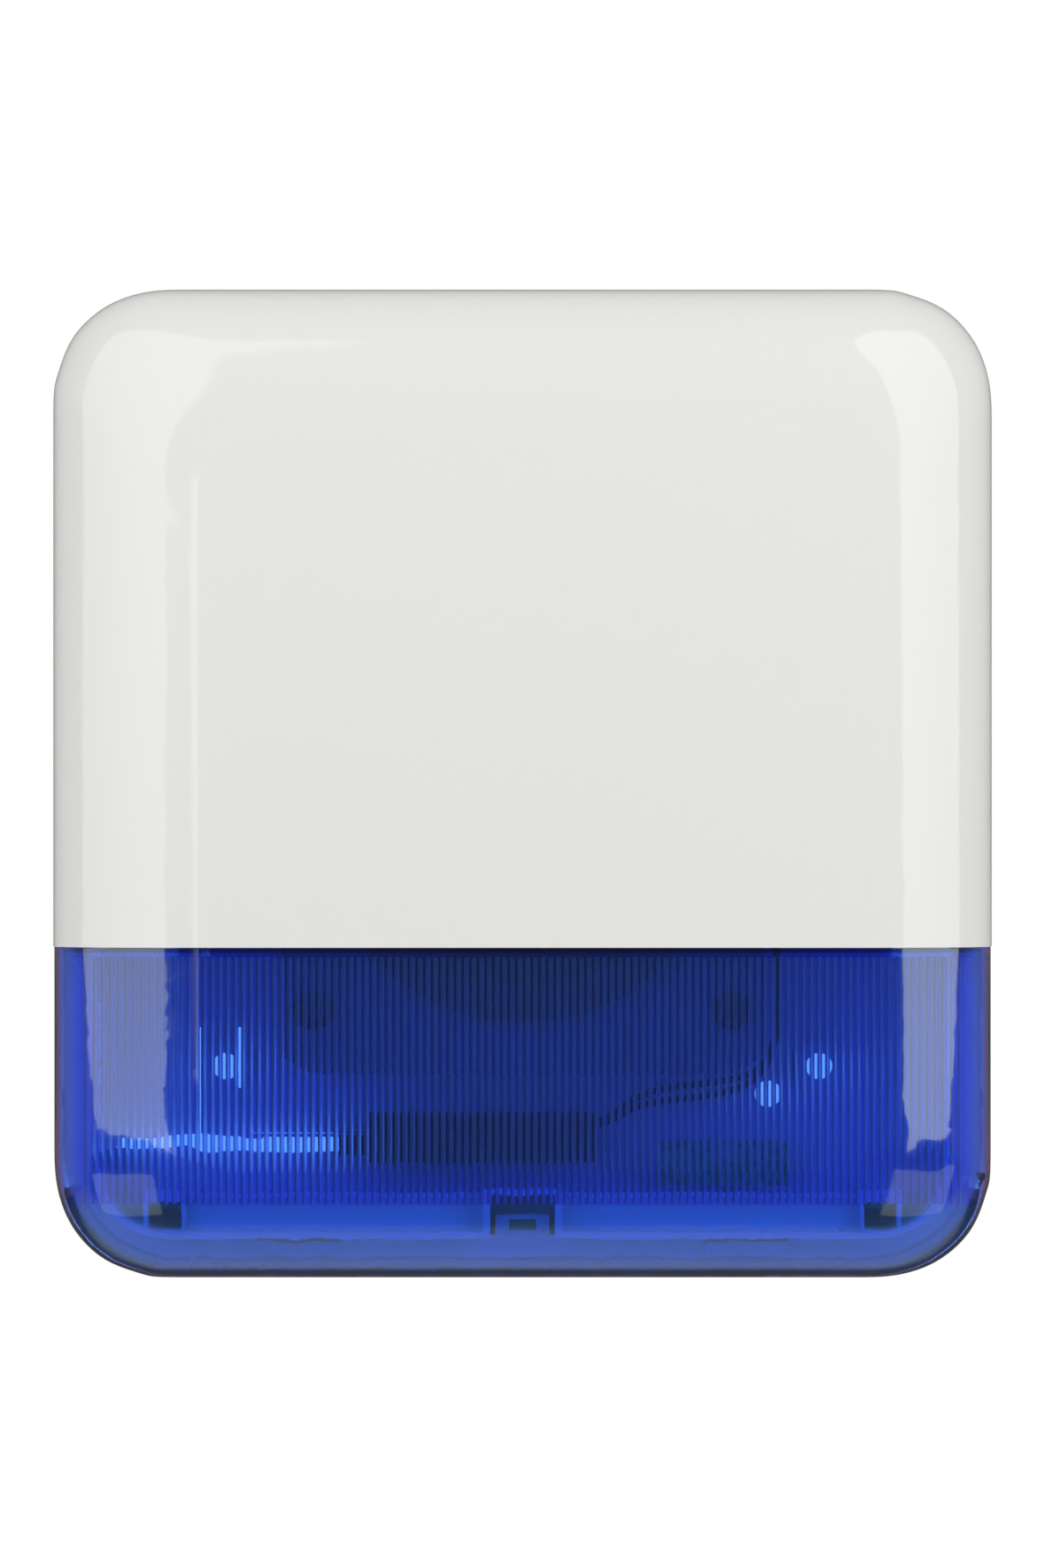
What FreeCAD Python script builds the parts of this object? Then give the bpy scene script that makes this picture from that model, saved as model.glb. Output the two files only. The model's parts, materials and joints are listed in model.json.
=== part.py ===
"""Wall alarm siren: a white cover with a blue fluted lens, hung on a wall base.

Millimetres, +Z up.  The origin is the centre of the wall face: the wall is the plane y = 0, the
siren stands out of it towards -Y, and +X is to the right as one faces it.  "Depth" below is the
distance out from the wall, so a point at depth d has y = -d.
"""
import FreeCAD, Part
import math
import os

Vector = FreeCAD.Vector
OUT = Vector(0, -1, 0)
RIGHT = Vector(1, 0, 0)
UP = Vector(0, 0, 1)
SINK = 0.2               # how far joined shapes run into each other

# ---- Overall form -----------------------------------------------------------------------------
WIDTH = 193.0
HEIGHT = 203.2
DEPTH = 48.0
CORNER_RUN = 26.0        # how far each corner curve runs along a side
CORNER_POWER = 2.32      # 2 is a plain arc; more is squarer
CORNER_LOSS = 0.4        # how much of the run goes with each millimetre of inset
SIDE_DEPTH = 26.0        # where the drafted sides end and the front starts to roll over
SIDE_DRAFT = 1.0         # what the sides lean in by over that depth
ROLL_WIDTH = 30.0        # width of the rolled border of the front
ROLL_POWER = 2.7
ROLL_ANGLES = (0, 12, 26, 42, 58, 72, 82, 90)
CORNER_ANGLES = (0, 15, 30, 45, 60, 75, 90)

# ---- Cover and lens ---------------------------------------------------------------------------
COVER_WALL = 2.5
LENS_WALL = 2.2
LENS_HEIGHT = 68.5       # from the bottom edge up to the seam
LENS_SETBACK = 0.2       # the lens lies this much inside the cover's surface
SEAM_GAP = 0.2
LENS_RIM_HEIGHT = 1.9    # plain thick strip above the flutes
TONGUE_WALL = 1.5
TONGUE_HEIGHT = 3.0      # how far the tongue reaches up behind the cover
EAR_SPAN = (10.0, 54.0)  # two ears of the tongue that take the lens screws
EAR_HEIGHT = 10.0
FLUTE_PITCH = 1.55
FLUTE_LAND = 0.6         # flat part of each pitch; a rounded ridge takes the rest
FLUTE_HEIGHT = 0.18
FLUTE_ROOT = 0.2         # the valleys stand this far in from the wall
FLUTE_BURIAL = 0.9       # depth of the comb inside the wall
FLUTE_EDGE_MARGIN = 8.5  # flutes stop this far in from the side of the lens
FLUTE_LOW = 17.0         # height of the flutes' lower cut above the bottom edge
LENS_SCREW_X = (18.0, 46.0)
LENS_SCREW_RADIUS = 1.3
LENS_SCREW_HEAD_RADIUS = 3.2
LENS_SCREW_HEAD = 1.8
LENS_BOSS_RADIUS = 2.6
SCREW_PLAY = 0.05        # between every screw's shank and its hole
REAR_GAP = 3.0           # from the wall to the cover's rear edge

# ---- Base -------------------------------------------------------------------------------------
PLATE = 2.6
PLATE_INSET = 0.6
PLATE_TOP_DROP = 8.6     # the plate's top edge stays below the swing of the cover
BOX_INSET = 8.5          # the tray's wall, in from the silhouette
BOX_TOP_INSET = 12.6
BOX_RUN = 17.0
BOX_WALL = 1.5
BOX_DEPTH = 22.0
LEDGE_DEPTH = 12.0       # ledge below the tray, with the lock in it
LEDGE_CLEARANCE = 0.5
LEDGE_HEIGHT = 21.0      # how high the ledge runs up round the lower corners
NOTCH_HALF = 6.6
NOTCH_HEIGHT = 8.9
NOTCH_WALL = 1.4
TAB_HALF = 5.5
TAB_HEIGHT = 4.4
PAD_SPAN = (37.3, 54.2)
PAD_RISE = 1.0
PAD_SLOT = 1.3
SOCKET_OUTER = 7.7
SOCKET_HEIGHT = 9.1
SOCKET_HOLE = 5.8
SOCKET_SIDE_GAP = 10.4   # from the tray's side to the socket
SOCKET_DEPTH = 20.0
RIB_WALL = 1.0
RIB_HEIGHT_ABOVE = 9.3   # height of the cross rib above the tray's lower side
RIB_DROP = 2.0           # the cross rib stands this much lower than the sockets
SHELF_DEPTH = 15.5       # front of the shelf between the cross rib and the tray's lower side
MOUNT_X = 61.0
MOUNT_LOW = 43.6         # height of the lower screws above the bottom edge
MOUNT_DROP = 7.0         # from the tray's upper side down to the upper screws
MOUNT_HOLE_RADIUS = 2.75
MOUNT_BOSS_RADIUS = 5.0
MOUNT_BOSS_DEPTH = 5.0
SPARE_HOLE = (50.5, 37.9)    # extra fixing hole: from the middle, and above the bottom edge
BREAK_SLOT = 1.5             # slots round the tongue that breaks off when the tray is levered away
BREAK_SLOT_X = (-67.0, -57.7)
BREAK_SLOT_TOP = 51.6        # heights above the bottom edge
BREAK_SLOT_END = 39.1        # the right slot stops here, above the long slot
LONG_SLOT_SPAN = (3.5, 52.0)     # from the tray's left side
LONG_SLOT_HEIGHTS = (26.3, 29.9)

# ---- Hinge along the top ----------------------------------------------------------------------
HINGE_DEPTH = 7.0
HINGE_DROP = 6.6         # below the top edge
HINGE_X = 55.0
HINGE_PIN_RADIUS = 1.5
HINGE_CLEARANCE = 0.06
HOOK_RADIUS = 3.2
HOOK_WIDTH = 8.0
CHEEK_RADIUS = 3.0
CHEEK_WALL = 2.0
CHEEK_GAP = 0.4

# ---- Lock -------------------------------------------------------------------------------------
LOCK_DEPTH = 7.6
LOCK_HEAD_RADIUS = 2.5
LOCK_HEAD_HEIGHT = 4.5
LOCK_SHANK_RADIUS = 1.45
LOCK_CLEARANCE = 0.08
LOCK_HOLE_RADIUS = 2.8   # hole in the lens that the head comes out into
NUT_WIDTH = 5.5
NUT_HEIGHT = 2.2
NUT_CLEARANCE = 0.05
NUT_SLOT_HEIGHT = 2.4
NUT_SLOT_RISE = 1.0      # above the tray's lower side

# ---- Sounder ----------------------------------------------------------------------------------
SOUNDER_LOW = 42.8       # height of its lower side above the bottom edge
SOUNDER_DROP = 57.6      # from the top edge down to its upper side
SOUNDER_DEPTH = 32.0
SOUNDER_WALL = 2.2
SOUNDER_ROUNDING = 1.2
SOUNDER_CUT = (6.0, 3.6)  # the cut lower corners, across and up
HORN_SHARE = 0.367       # radius of the horn's mouth as a share of the sounder's width
HORN_THROAT = 14.0
HORN_REAR = 12.0
HORN_WALL = 1.6
HORN_LIP = 2.0
HORN_FLANGE = 5.0
HORN_CLEARANCE = 0.15
PLUG_RADIUS = 9.0
VANE_WALL = 1.2
DRIVER_SHARE = 0.667     # radius of the driver as a share of the horn's mouth
DRIVER_GAP = 0.3
DIAPHRAGM_WALL = 0.4
WELL_RADIUS = 4.2
WELL_WALL = 1.4
WELL_INSET = 6.5
FIXING_HEAD_RADIUS = 3.0
FIXING_HEAD = 2.2
FIXING_RADIUS = 1.4
FIXING_FLOOR = 3.0

# ---- Main cells -------------------------------------------------------------------------------
CELL_RADIUS = 13.1
CELL_LENGTH = 50.0
CELL_CRADLE = 1.0
CELL_GAP = 6.9           # from the sounder's side to the cell
CELL_SIDE_GAP = 4.4      # from the cell to the tray's wall
CELL_DROP = 15.0         # from the tray's upper side down to the cells
CONTACT_WALL = 0.5
CONTACT_SPRING = 4.5
CONTACT_HALF = 7.0
SPRING_RADII = (6.0, 3.5)
SPRING_WALL = 0.8
CELL_PIP_RADIUS = 3.2
CELL_PIP = 1.5
CELL_END_WALL = 2.0

# ---- Boards -----------------------------------------------------------------------------------
BOARD_SIDE_GAP = 3.9     # from the left cells to its left edge
BOARD_ENTRY_GAP = 25.9   # from its right edge to the right cells, with the cable entry between
BOARD_HEIGHT = 34.0
BOARD_ABOVE_SOUNDER = 4.0
BOARD_DEPTH = 9.0        # depth of its rear face
BOARD_WALL = 1.6
BOARD_HOLE_INSET = 4.0
BOARD_BOSS_RADIUS = 3.0
BOARD_SCREW_RADIUS = 1.25
BOARD_SCREW_HEAD_RADIUS = 2.4
BOARD_SCREW_HEAD = 1.7
BOARD_SCREW_GRIP = 4.0   # how far the screws go into the bosses
STROBE_SIDE_GAP = 33.4   # from the tray's right side to the strobe board
STROBE_WIDTH = 27.3
STROBE_LOW = 19.1        # above the bottom edge
STROBE_HEIGHT = 10.3
STROBE_DEPTH = 14.0
STROBE_POST_RADIUS = 2.2
STROBE_POST_INSET = 3.5

# ---- Backup cell ------------------------------------------------------------------------------
BACKUP_X = (-32.2, -3.4)
BACKUP_RADIUS = 5.65
BACKUP_AXIS = 28.65      # above the bottom edge
BACKUP_DEPTH = 12.0
CRADLE_RIGHT = 15.0
CRADLE_WALL = 1.8
LEAD_RADIUS = 0.75
LEAD_PITCH = 1.7
LEAD_LIFTS = (0.2, -0.1, 4.6, 5.7, 6.6, 9.4, 17.5)  # heights of the bends above the cell's end
LEAD_DROPS = (16.0, 5.2, 0.8)  # from the plug down to where the leads turn over to it
LEAD_PROUD = 4.0         # how far in front of the control board they end
LEAD_SIDE_GAP = 2.9      # from the sounder's side to the leads
BACKUP_TAIL = 5.4        # how far the sleeve runs on past the cell's left end
BACKUP_TAIL_RADIUS = 2.35
PLUG_SIZE = (7.0, 6.8, 7.6)
PLUG_INSET = 9.0         # from the control board's right edge to the plug
PLUG_RISE = 4.5          # above the control board's lower edge

# ---- Parts on the control board ---------------------------------------------------------------
# Each place is an x from the board's left edge, or from its right edge where it is negative, and
# a z from its lower edge, or from its upper edge where it is negative.
CHIP_PLACE = (-26.0, 6.0)
CHIP_SIZE = (9.0, 9.0, 1.4)
RADIO_PLACE = (15.5, 9.0)
RADIO_SIZE = (15.0, 12.0, 2.4)
REGULATOR_PLACE = (25.0, -5.0)
REGULATOR_SIZE = (6.0, 5.0, 1.2)
COIL_PLACE = (-10.0, -15.0)
COIL_SIZE = (8.0, 8.0, 4.0)
CAPACITOR_PLACES = ((-36.0, 5.0), (-36.0, 12.5))
CAPACITOR_RADIUS = 3.0
CAPACITOR_HEIGHT = 10.0
TERMINAL_PLACE = (-15.0, -4.2)
TERMINAL_SIZE = (10.0, 7.6, 9.0)
TERMINAL_PITCH = 5.0
AERIAL_RADIUS = 0.6
AERIAL_RISE = 2.2        # above the board's upper edge
AERIAL_PROUD = 3.0       # in front of the board
AERIAL_FOOT = (10.0, -1.8)
AERIAL_TIP_INSET = 2.0
TAMPER_OFFSET = (28.0, 20.0)
WALL_TAMPER_OFFSET = (-18.0, 18.0)
SWITCH_OFFSET = (16.0, -6.0)
BUTTON_OFFSET = (-26.0, -9.0)
SWITCH_SIZE = (10.0, 4.6, 4.0)
BUTTON_SIZE = (6.0, 6.0, 3.4)

# ---- Cable entry ------------------------------------------------------------------------------
CABLE_OFFSET = (12.0, 20.0)  # from the control board's lower right corner
CABLE_RADIUS = 7.0
CABLE_BORE = 3.0
CABLE_SEAT = 1.4         # thickening of the plate round the entry
CABLE_BOSS = 3.0
GROMMET_LIP = 2.2
GROMMET_NOSE = 4.0
GROMMET_PLAY = 0.05
CLIP_SHARES = (0.305, 0.772)  # places of the lead clips along the sounder's side
CLIP_HALF = 2.3
CLIP_WIDTH = 3.0
CLIP_CLEARANCE = 0.3

# ---- Small controls ---------------------------------------------------------------------------
TAMPER_SIZE = 8.0
TAMPER_RISE = 7.0
TAMPER_REACH = 3.2       # how far the plunger stands out of its switch when held in
TAMPER_PLUNGER_RADIUS = 1.6
WALL_PLUNGER_RADIUS = 2.0
SLIDE_CLEARANCE = 0.08
POST_RADIUS = 3.0
SWITCH_TRAVEL = 2.5
SWITCH_KNOB = 2.0
BUTTON_RADIUS = 1.7
BUTTON_TRAVEL = 0.3

# ---- Places worked out from the sizes above ---------------------------------------------------
TOP = HEIGHT / 2
BOTTOM = -HEIGHT / 2
SEAM = BOTTOM + LENS_HEIGHT
BOX_LOW = BOTTOM + BOX_INSET
BOX_HIGH = TOP - BOX_TOP_INSET
BOX_HALF = WIDTH / 2 - BOX_INSET
LENS_FRONT = DEPTH - LENS_SETBACK
LENS_INSIDE = LENS_FRONT - LENS_WALL
COVER_INSIDE = DEPTH - COVER_WALL
HINGE_Z = TOP - HINGE_DROP
LEDGE_LOW = BOTTOM + LENS_SETBACK + LENS_WALL + SIDE_DRAFT * 0.4 + LEDGE_CLEARANCE
MOUNT_Z = (BOTTOM + MOUNT_LOW, BOX_HIGH - MOUNT_DROP)
CELL_X = BOX_HALF - BOX_WALL - CELL_SIDE_GAP - CELL_RADIUS
CELL_DEPTH = PLATE + CELL_CRADLE + CELL_RADIUS
CELL_TOP = BOX_HIGH - CELL_DROP
CELL_Z = CELL_TOP - 2 * CELL_LENGTH
CELL_BAY_LOW = CELL_Z - CONTACT_SPRING - CONTACT_WALL
SOUNDER_WIDTH = 2 * (CELL_X - CELL_RADIUS - CELL_GAP)
SOUNDER_Z = (BOTTOM + SOUNDER_LOW, TOP - SOUNDER_DROP)
SOUNDER_MID = (SOUNDER_Z[0] + SOUNDER_Z[1]) / 2
HORN_MOUTH = HORN_SHARE * SOUNDER_WIDTH
DRIVER_RADIUS = DRIVER_SHARE * HORN_MOUTH
BOARD_X = (BOARD_SIDE_GAP - CELL_X + CELL_RADIUS, CELL_X - CELL_RADIUS - BOARD_ENTRY_GAP)
BOARD_Z = (SOUNDER_Z[1] + BOARD_ABOVE_SOUNDER, SOUNDER_Z[1] + BOARD_ABOVE_SOUNDER + BOARD_HEIGHT)
BOARD_FRONT = BOARD_DEPTH + BOARD_WALL
STROBE_X = (BOX_HALF - STROBE_SIDE_GAP - STROBE_WIDTH, BOX_HALF - STROBE_SIDE_GAP)
STROBE_Z = (BOTTOM + STROBE_LOW, BOTTOM + STROBE_LOW + STROBE_HEIGHT)
STROBE_FRONT = STROBE_DEPTH + BOARD_WALL
BACKUP_Z = BOTTOM + BACKUP_AXIS
PLUG_X = BOARD_X[1] - PLUG_INSET
NUT_SLOT_LOW = BOX_LOW + NUT_SLOT_RISE
EAR_DEPTH = (COVER_INSIDE - 0.15 - TONGUE_WALL, COVER_INSIDE - 0.15)
LENS_SCREW_Z = SEAM + 6.0


def board_place(offset):
    """A place on the control board, from its left or right and its lower or upper edge."""
    x = BOARD_X[offset[0] < 0] + offset[0]
    z = BOARD_Z[offset[1] < 0] + offset[1]
    return x, z


TAMPER_PLACE = board_place(TAMPER_OFFSET)
WALL_TAMPER_PLACE = board_place(WALL_TAMPER_OFFSET)
SWITCH_PLACE = board_place(SWITCH_OFFSET)
BUTTON_PLACE = board_place(BUTTON_OFFSET)
TAMPER_BODY_FRONT = BOARD_FRONT + TAMPER_RISE
TAMPER_TIP = TAMPER_BODY_FRONT + TAMPER_REACH
CABLE_PLACE = (BOARD_X[1] + CABLE_OFFSET[0], BOARD_Z[0] + CABLE_OFFSET[1])


# ---- Shape helpers ----------------------------------------------------------------------------
def point(x, depth, z):
    """A place given by its depth out from the wall."""
    return Vector(x, -depth, z)


def block(xs, depths, zs):
    """A box between pairs of x, depth and z."""
    return Part.makeBox(xs[1] - xs[0], depths[1] - depths[0], zs[1] - zs[0], point(xs[0], depths[1], zs[0]))


def soft_block(xs, depths, zs, radius, along):
    """A box with the edges that run along one direction rounded."""
    body = block(xs, depths, zs)
    edges = []
    for edge in body.Edges:
        run = edge.Vertexes[1].Point - edge.Vertexes[0].Point
        if abs(run.dot(along)) > 0.99 * run.Length:
            edges.append(edge)
    return body.makeFillet(radius, edges)


def peg(x, z, depths, radius):
    """A cylinder that stands out from the wall."""
    return Part.makeCylinder(radius, depths[1] - depths[0], point(x, depths[0], z), OUT)


def rod_x(xs, depth, z, radius):
    """A cylinder along X."""
    return Part.makeCylinder(radius, xs[1] - xs[0], point(xs[0], depth, z), RIGHT)


def rod_z(x, depth, zs, radius):
    """A cylinder along Z."""
    return Part.makeCylinder(radius, zs[1] - zs[0], point(x, depth, zs[0]), UP)


def union(shapes):
    """Fuse a list of shapes and drop the seams between them."""
    body = shapes[0]
    if len(shapes) > 1:
        body = body.fuse(shapes[1:])
    return body.removeSplitter()


def mirrored(shape):
    """The same shape on the other side of the middle plane x = 0."""
    return shape.mirror(Vector(0, 0, 0), RIGHT)


def prism(corners, depths):
    """A straight prism out from the wall with its corners given as (x, z)."""
    wire = Part.makePolygon([point(x, depths[0], z) for x, z in corners + corners[:1]])
    return Part.Face(wire).extrude(OUT * (depths[1] - depths[0]))


def corner_edge(side, half_width, half_height, mid_z, run, depth):
    """One superelliptic corner, from the vertical side to the level side or back."""
    side_x, side_z = side
    places = []
    for angle in CORNER_ANGLES:
        across = math.cos(math.radians(angle)) ** (2 / CORNER_POWER) if angle < 90 else 0.0
        upward = math.sin(math.radians(angle)) ** (2 / CORNER_POWER)
        x = side_x * (half_width - run + run * across)
        z = mid_z + side_z * (half_height - run + run * upward)
        places.append(point(x, depth, z))
    first, last = Vector(0, 0, side_z), Vector(-side_x, 0, 0)
    if side_x * side_z < 0:
        places.reverse()
        first, last = Vector(side_x, 0, 0), Vector(0, 0, -side_z)
    curve = Part.BSplineCurve()
    curve.interpolate(Points=places, InitialTangent=first, FinalTangent=last)
    return curve.toShape()


def outline(half_width, z_low, z_high, run, depth):
    """Closed wire of four straight sides and four soft corners."""
    mid_z = (z_low + z_high) / 2
    half_height = (z_high - z_low) / 2
    sides = ((1, 1), (-1, 1), (-1, -1), (1, -1))
    curves = [corner_edge(side, half_width, half_height, mid_z, run, depth) for side in sides]
    edges = []
    for here, after in zip(curves, curves[1:] + curves[:1]):
        edges.append(here)
        edges.append(Part.makeLine(here.Vertexes[-1].Point, after.Vertexes[0].Point))
    return Part.Wire(edges)


def form_outline(inset, depth):
    """The siren's own outline, drawn in by an inset."""
    run = CORNER_RUN - CORNER_LOSS * inset
    return outline(WIDTH / 2 - inset, BOTTOM + inset, TOP - inset, run, depth)


def form(inset, rear, front):
    """The siren's outer form from a rear depth to a front depth: drafted sides and a rolled front."""
    lean = SIDE_DRAFT * (SIDE_DEPTH - rear) / (SIDE_DEPTH - REAR_GAP)
    start = inset + SIDE_DRAFT
    sides = Part.makeLoft([form_outline(start - lean, rear), form_outline(start, SIDE_DEPTH)], True, True)
    sections = []
    for angle in ROLL_ANGLES:
        inward = 1 - math.cos(math.radians(angle)) ** (2 / ROLL_POWER) if angle < 90 else 1.0
        outward = math.sin(math.radians(angle)) ** (2 / ROLL_POWER)
        depth = SIDE_DEPTH + (front - SIDE_DEPTH) * outward
        sections.append(form_outline(start + ROLL_WIDTH * inward, depth))
    rolled = Part.makeLoft(sections, True, False)
    return sides.fuse(rolled)


def roll_depth(x, inset, front):
    """Depth of the form's surface at x, where its sides are straight."""
    inward = WIDTH / 2 - abs(x) - inset - SIDE_DRAFT
    if inward >= ROLL_WIDTH:
        return front
    share = 1 - max(inward, 0.0) / ROLL_WIDTH
    return SIDE_DEPTH + (front - SIDE_DEPTH) * (1 - share ** ROLL_POWER) ** (1 / ROLL_POWER)


def tray_prism(shrink, depths):
    """The tray's outline, drawn in by its wall or not at all, as a prism."""
    wire = outline(BOX_HALF - shrink, BOX_LOW + shrink, BOX_HIGH - shrink, BOX_RUN - shrink, depths[0])
    return Part.Face(wire).extrude(OUT * (depths[1] - depths[0]))


def tube(places, radius):
    """A round lead along straight runs joined by arcs, with its length checked by its volume."""
    edges = []
    start = places[0]
    radii = []
    for before, corner, after in zip(places, places[1:], places[2:]):
        back = before - corner
        ahead = after - corner
        turn = math.pi - back.getAngle(ahead)
        bend = 0.45 * min(back.Length, ahead.Length) / math.tan(turn / 2)
        reach = bend * math.tan(turn / 2)
        entry = corner + back.normalize() * reach
        leave = corner + ahead.normalize() * reach
        middle = (back + ahead).normalize()
        crown = corner + middle * (math.hypot(bend, reach) - bend)
        edges.append(Part.makeLine(start, entry))
        edges.append(Part.Arc(entry, crown, leave).toShape())
        radii.append(round(bend, 1))
        start = leave
    edges.append(Part.makeLine(start, places[-1]))
    wire = Part.Wire(edges)
    length = sum(edge.Length for edge in edges)
    first = (places[1] - places[0]).normalize()
    ring = Part.Wire([Part.makeCircle(radius, places[0], first)])
    body = wire.makePipeShell([ring], True, False)
    print("lead radii", radii, "volume share", round(body.Volume / (math.pi * radius ** 2 * length), 4))
    return body


# ---- Cover ------------------------------------------------------------------------------------
def front_cover():
    """White shell above the seam, with hinge hooks, lens bosses and the tamper post inside."""
    outer = form(0.0, REAR_GAP, DEPTH)
    inner = form(COVER_WALL, REAR_GAP - 1.0, COVER_INSIDE)
    above = block((-WIDTH, WIDTH), (0, 2 * DEPTH), (SEAM + SEAM_GAP / 2, 2 * TOP))
    parts = [outer.cut(inner).common(above)]
    for x in (-HINGE_X, HINGE_X):
        span = (x - HOOK_WIDTH / 2, x + HOOK_WIDTH / 2)
        hook = rod_x(span, HINGE_DEPTH, HINGE_Z, HOOK_RADIUS)
        web = block(span, (HINGE_DEPTH - 2.0, HINGE_DEPTH + 2.0), (HINGE_Z + 2.0, TOP - COVER_WALL + 0.8))
        hole = HINGE_PIN_RADIUS + HINGE_CLEARANCE
        mouth = block(span, (HINGE_DEPTH - hole, HINGE_DEPTH + hole), (HINGE_Z - 2 * HOOK_RADIUS, HINGE_Z))
        parts.append(hook.fuse(web).cut(rod_x(span, HINGE_DEPTH, HINGE_Z, hole)).cut(mouth))
    for x in LENS_SCREW_X:
        boss = peg(x, LENS_SCREW_Z, (EAR_DEPTH[0] + 0.1, COVER_INSIDE + 0.5), LENS_BOSS_RADIUS)
        boss = boss.cut(peg(x, LENS_SCREW_Z, (0, COVER_INSIDE + 0.6), LENS_SCREW_RADIUS))
        parts += [boss, mirrored(boss)]
    x, z = TAMPER_PLACE
    post = peg(x, z, (TAMPER_TIP + 0.2, COVER_INSIDE + 0.5), POST_RADIUS)
    vanes = [block((x - 6, x + 6), (COVER_INSIDE - 8, COVER_INSIDE + 0.5), (z - 0.75, z + 0.75)),
             block((x - 0.75, x + 0.75), (COVER_INSIDE - 8, COVER_INSIDE + 0.5), (z - 6, z + 6))]
    parts += [post] + vanes
    return union(parts)


def flute_comb(z_span):
    """The flutes as one comb, following the inside of the lens from side to side."""
    count = int((WIDTH / 2 - FLUTE_EDGE_MARGIN) / FLUTE_PITCH)
    stations = [index * FLUTE_PITCH for index in range(-count, count + 1)]
    inset = LENS_SETBACK + LENS_WALL
    roots = [point(x, roll_depth(x, inset, LENS_INSIDE) - FLUTE_ROOT, z_span[0]) for x in stations]
    edges = []
    for x, left, right in zip(stations, roots, roots[1:]):
        foot, crest = x + FLUTE_LAND, x + (FLUTE_LAND + FLUTE_PITCH) / 2
        foot_depth = roll_depth(foot, inset, LENS_INSIDE) - FLUTE_ROOT
        crest_depth = roll_depth(crest, inset, LENS_INSIDE) - FLUTE_ROOT - FLUTE_HEIGHT
        start, top = point(foot, foot_depth, z_span[0]), point(crest, crest_depth, z_span[0])
        edges += [Part.makeLine(left, start), Part.Arc(start, top, right).toShape()]
    sunk = OUT * (FLUTE_ROOT + FLUTE_BURIAL)
    chain = [roots[-1]] + [root + sunk for root in roots[:0:-4]] + [roots[0] + sunk, roots[0]]
    for here, after in zip(chain, chain[1:]):
        edges.append(Part.makeLine(here, after))
    return Part.Face(Part.Wire(edges)).extrude(UP * (z_span[1] - z_span[0]))


def lens():
    """Clear blue shell below the seam: fluted inside, with a tongue that tucks behind the cover."""
    outer = form(LENS_SETBACK, REAR_GAP, LENS_FRONT)
    inner = form(LENS_SETBACK + LENS_WALL, REAR_GAP - 1.0, LENS_INSIDE)
    lens_top = SEAM - SEAM_GAP / 2
    below = block((-WIDTH, WIDTH), (0, 2 * DEPTH), (2 * BOTTOM, lens_top))
    shell = outer.cut(inner).common(below)
    flutes = flute_comb((BOTTOM + FLUTE_LOW, lens_top - LENS_RIM_HEIGHT + 0.3)).common(outer)
    tongue_outer = form(COVER_WALL + 0.15, REAR_GAP, COVER_INSIDE - 0.15)
    tongue_inner = form(COVER_WALL + 0.15 + TONGUE_WALL, REAR_GAP - 1.0, COVER_INSIDE - 0.15 - TONGUE_WALL)
    band = block((-WIDTH, WIDTH), (0, 2 * DEPTH), (lens_top - LENS_RIM_HEIGHT, SEAM + TONGUE_HEIGHT))
    tongue = tongue_outer.cut(tongue_inner).common(band)
    ear = block(EAR_SPAN, EAR_DEPTH, (lens_top - LENS_RIM_HEIGHT, SEAM + EAR_HEIGHT))
    body = shell.fuse(tongue)
    body = body.fuse([ear, mirrored(ear)])
    body = body.fuse(flutes)
    for x in LENS_SCREW_X:
        hole = peg(x, LENS_SCREW_Z, (0, COVER_INSIDE + 0.1), LENS_BOSS_RADIUS + 0.1)
        body = body.cut(hole).cut(mirrored(hole))
    body = body.cut(rod_z(0, LOCK_DEPTH, (2 * BOTTOM, BOTTOM + 8), LOCK_HOLE_RADIUS))
    return body


def lens_screws():
    """Four pan-head screws that hold the lens ears to the cover bosses."""
    screws = []
    for x in LENS_SCREW_X:
        shank = peg(x, LENS_SCREW_Z, (EAR_DEPTH[0], COVER_INSIDE - 0.1), LENS_SCREW_RADIUS - SCREW_PLAY)
        head = peg(x, LENS_SCREW_Z, (EAR_DEPTH[0] - LENS_SCREW_HEAD, EAR_DEPTH[0]), LENS_SCREW_HEAD_RADIUS)
        slot = block((x - 2.2, x + 2.2), (0, EAR_DEPTH[0] - LENS_SCREW_HEAD + 0.9),
                     (LENS_SCREW_Z - 0.4, LENS_SCREW_Z + 0.4))
        screw = shank.fuse(head).cut(slot)
        screws += [screw, mirrored(screw)]
    return Part.makeCompound(screws)


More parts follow.
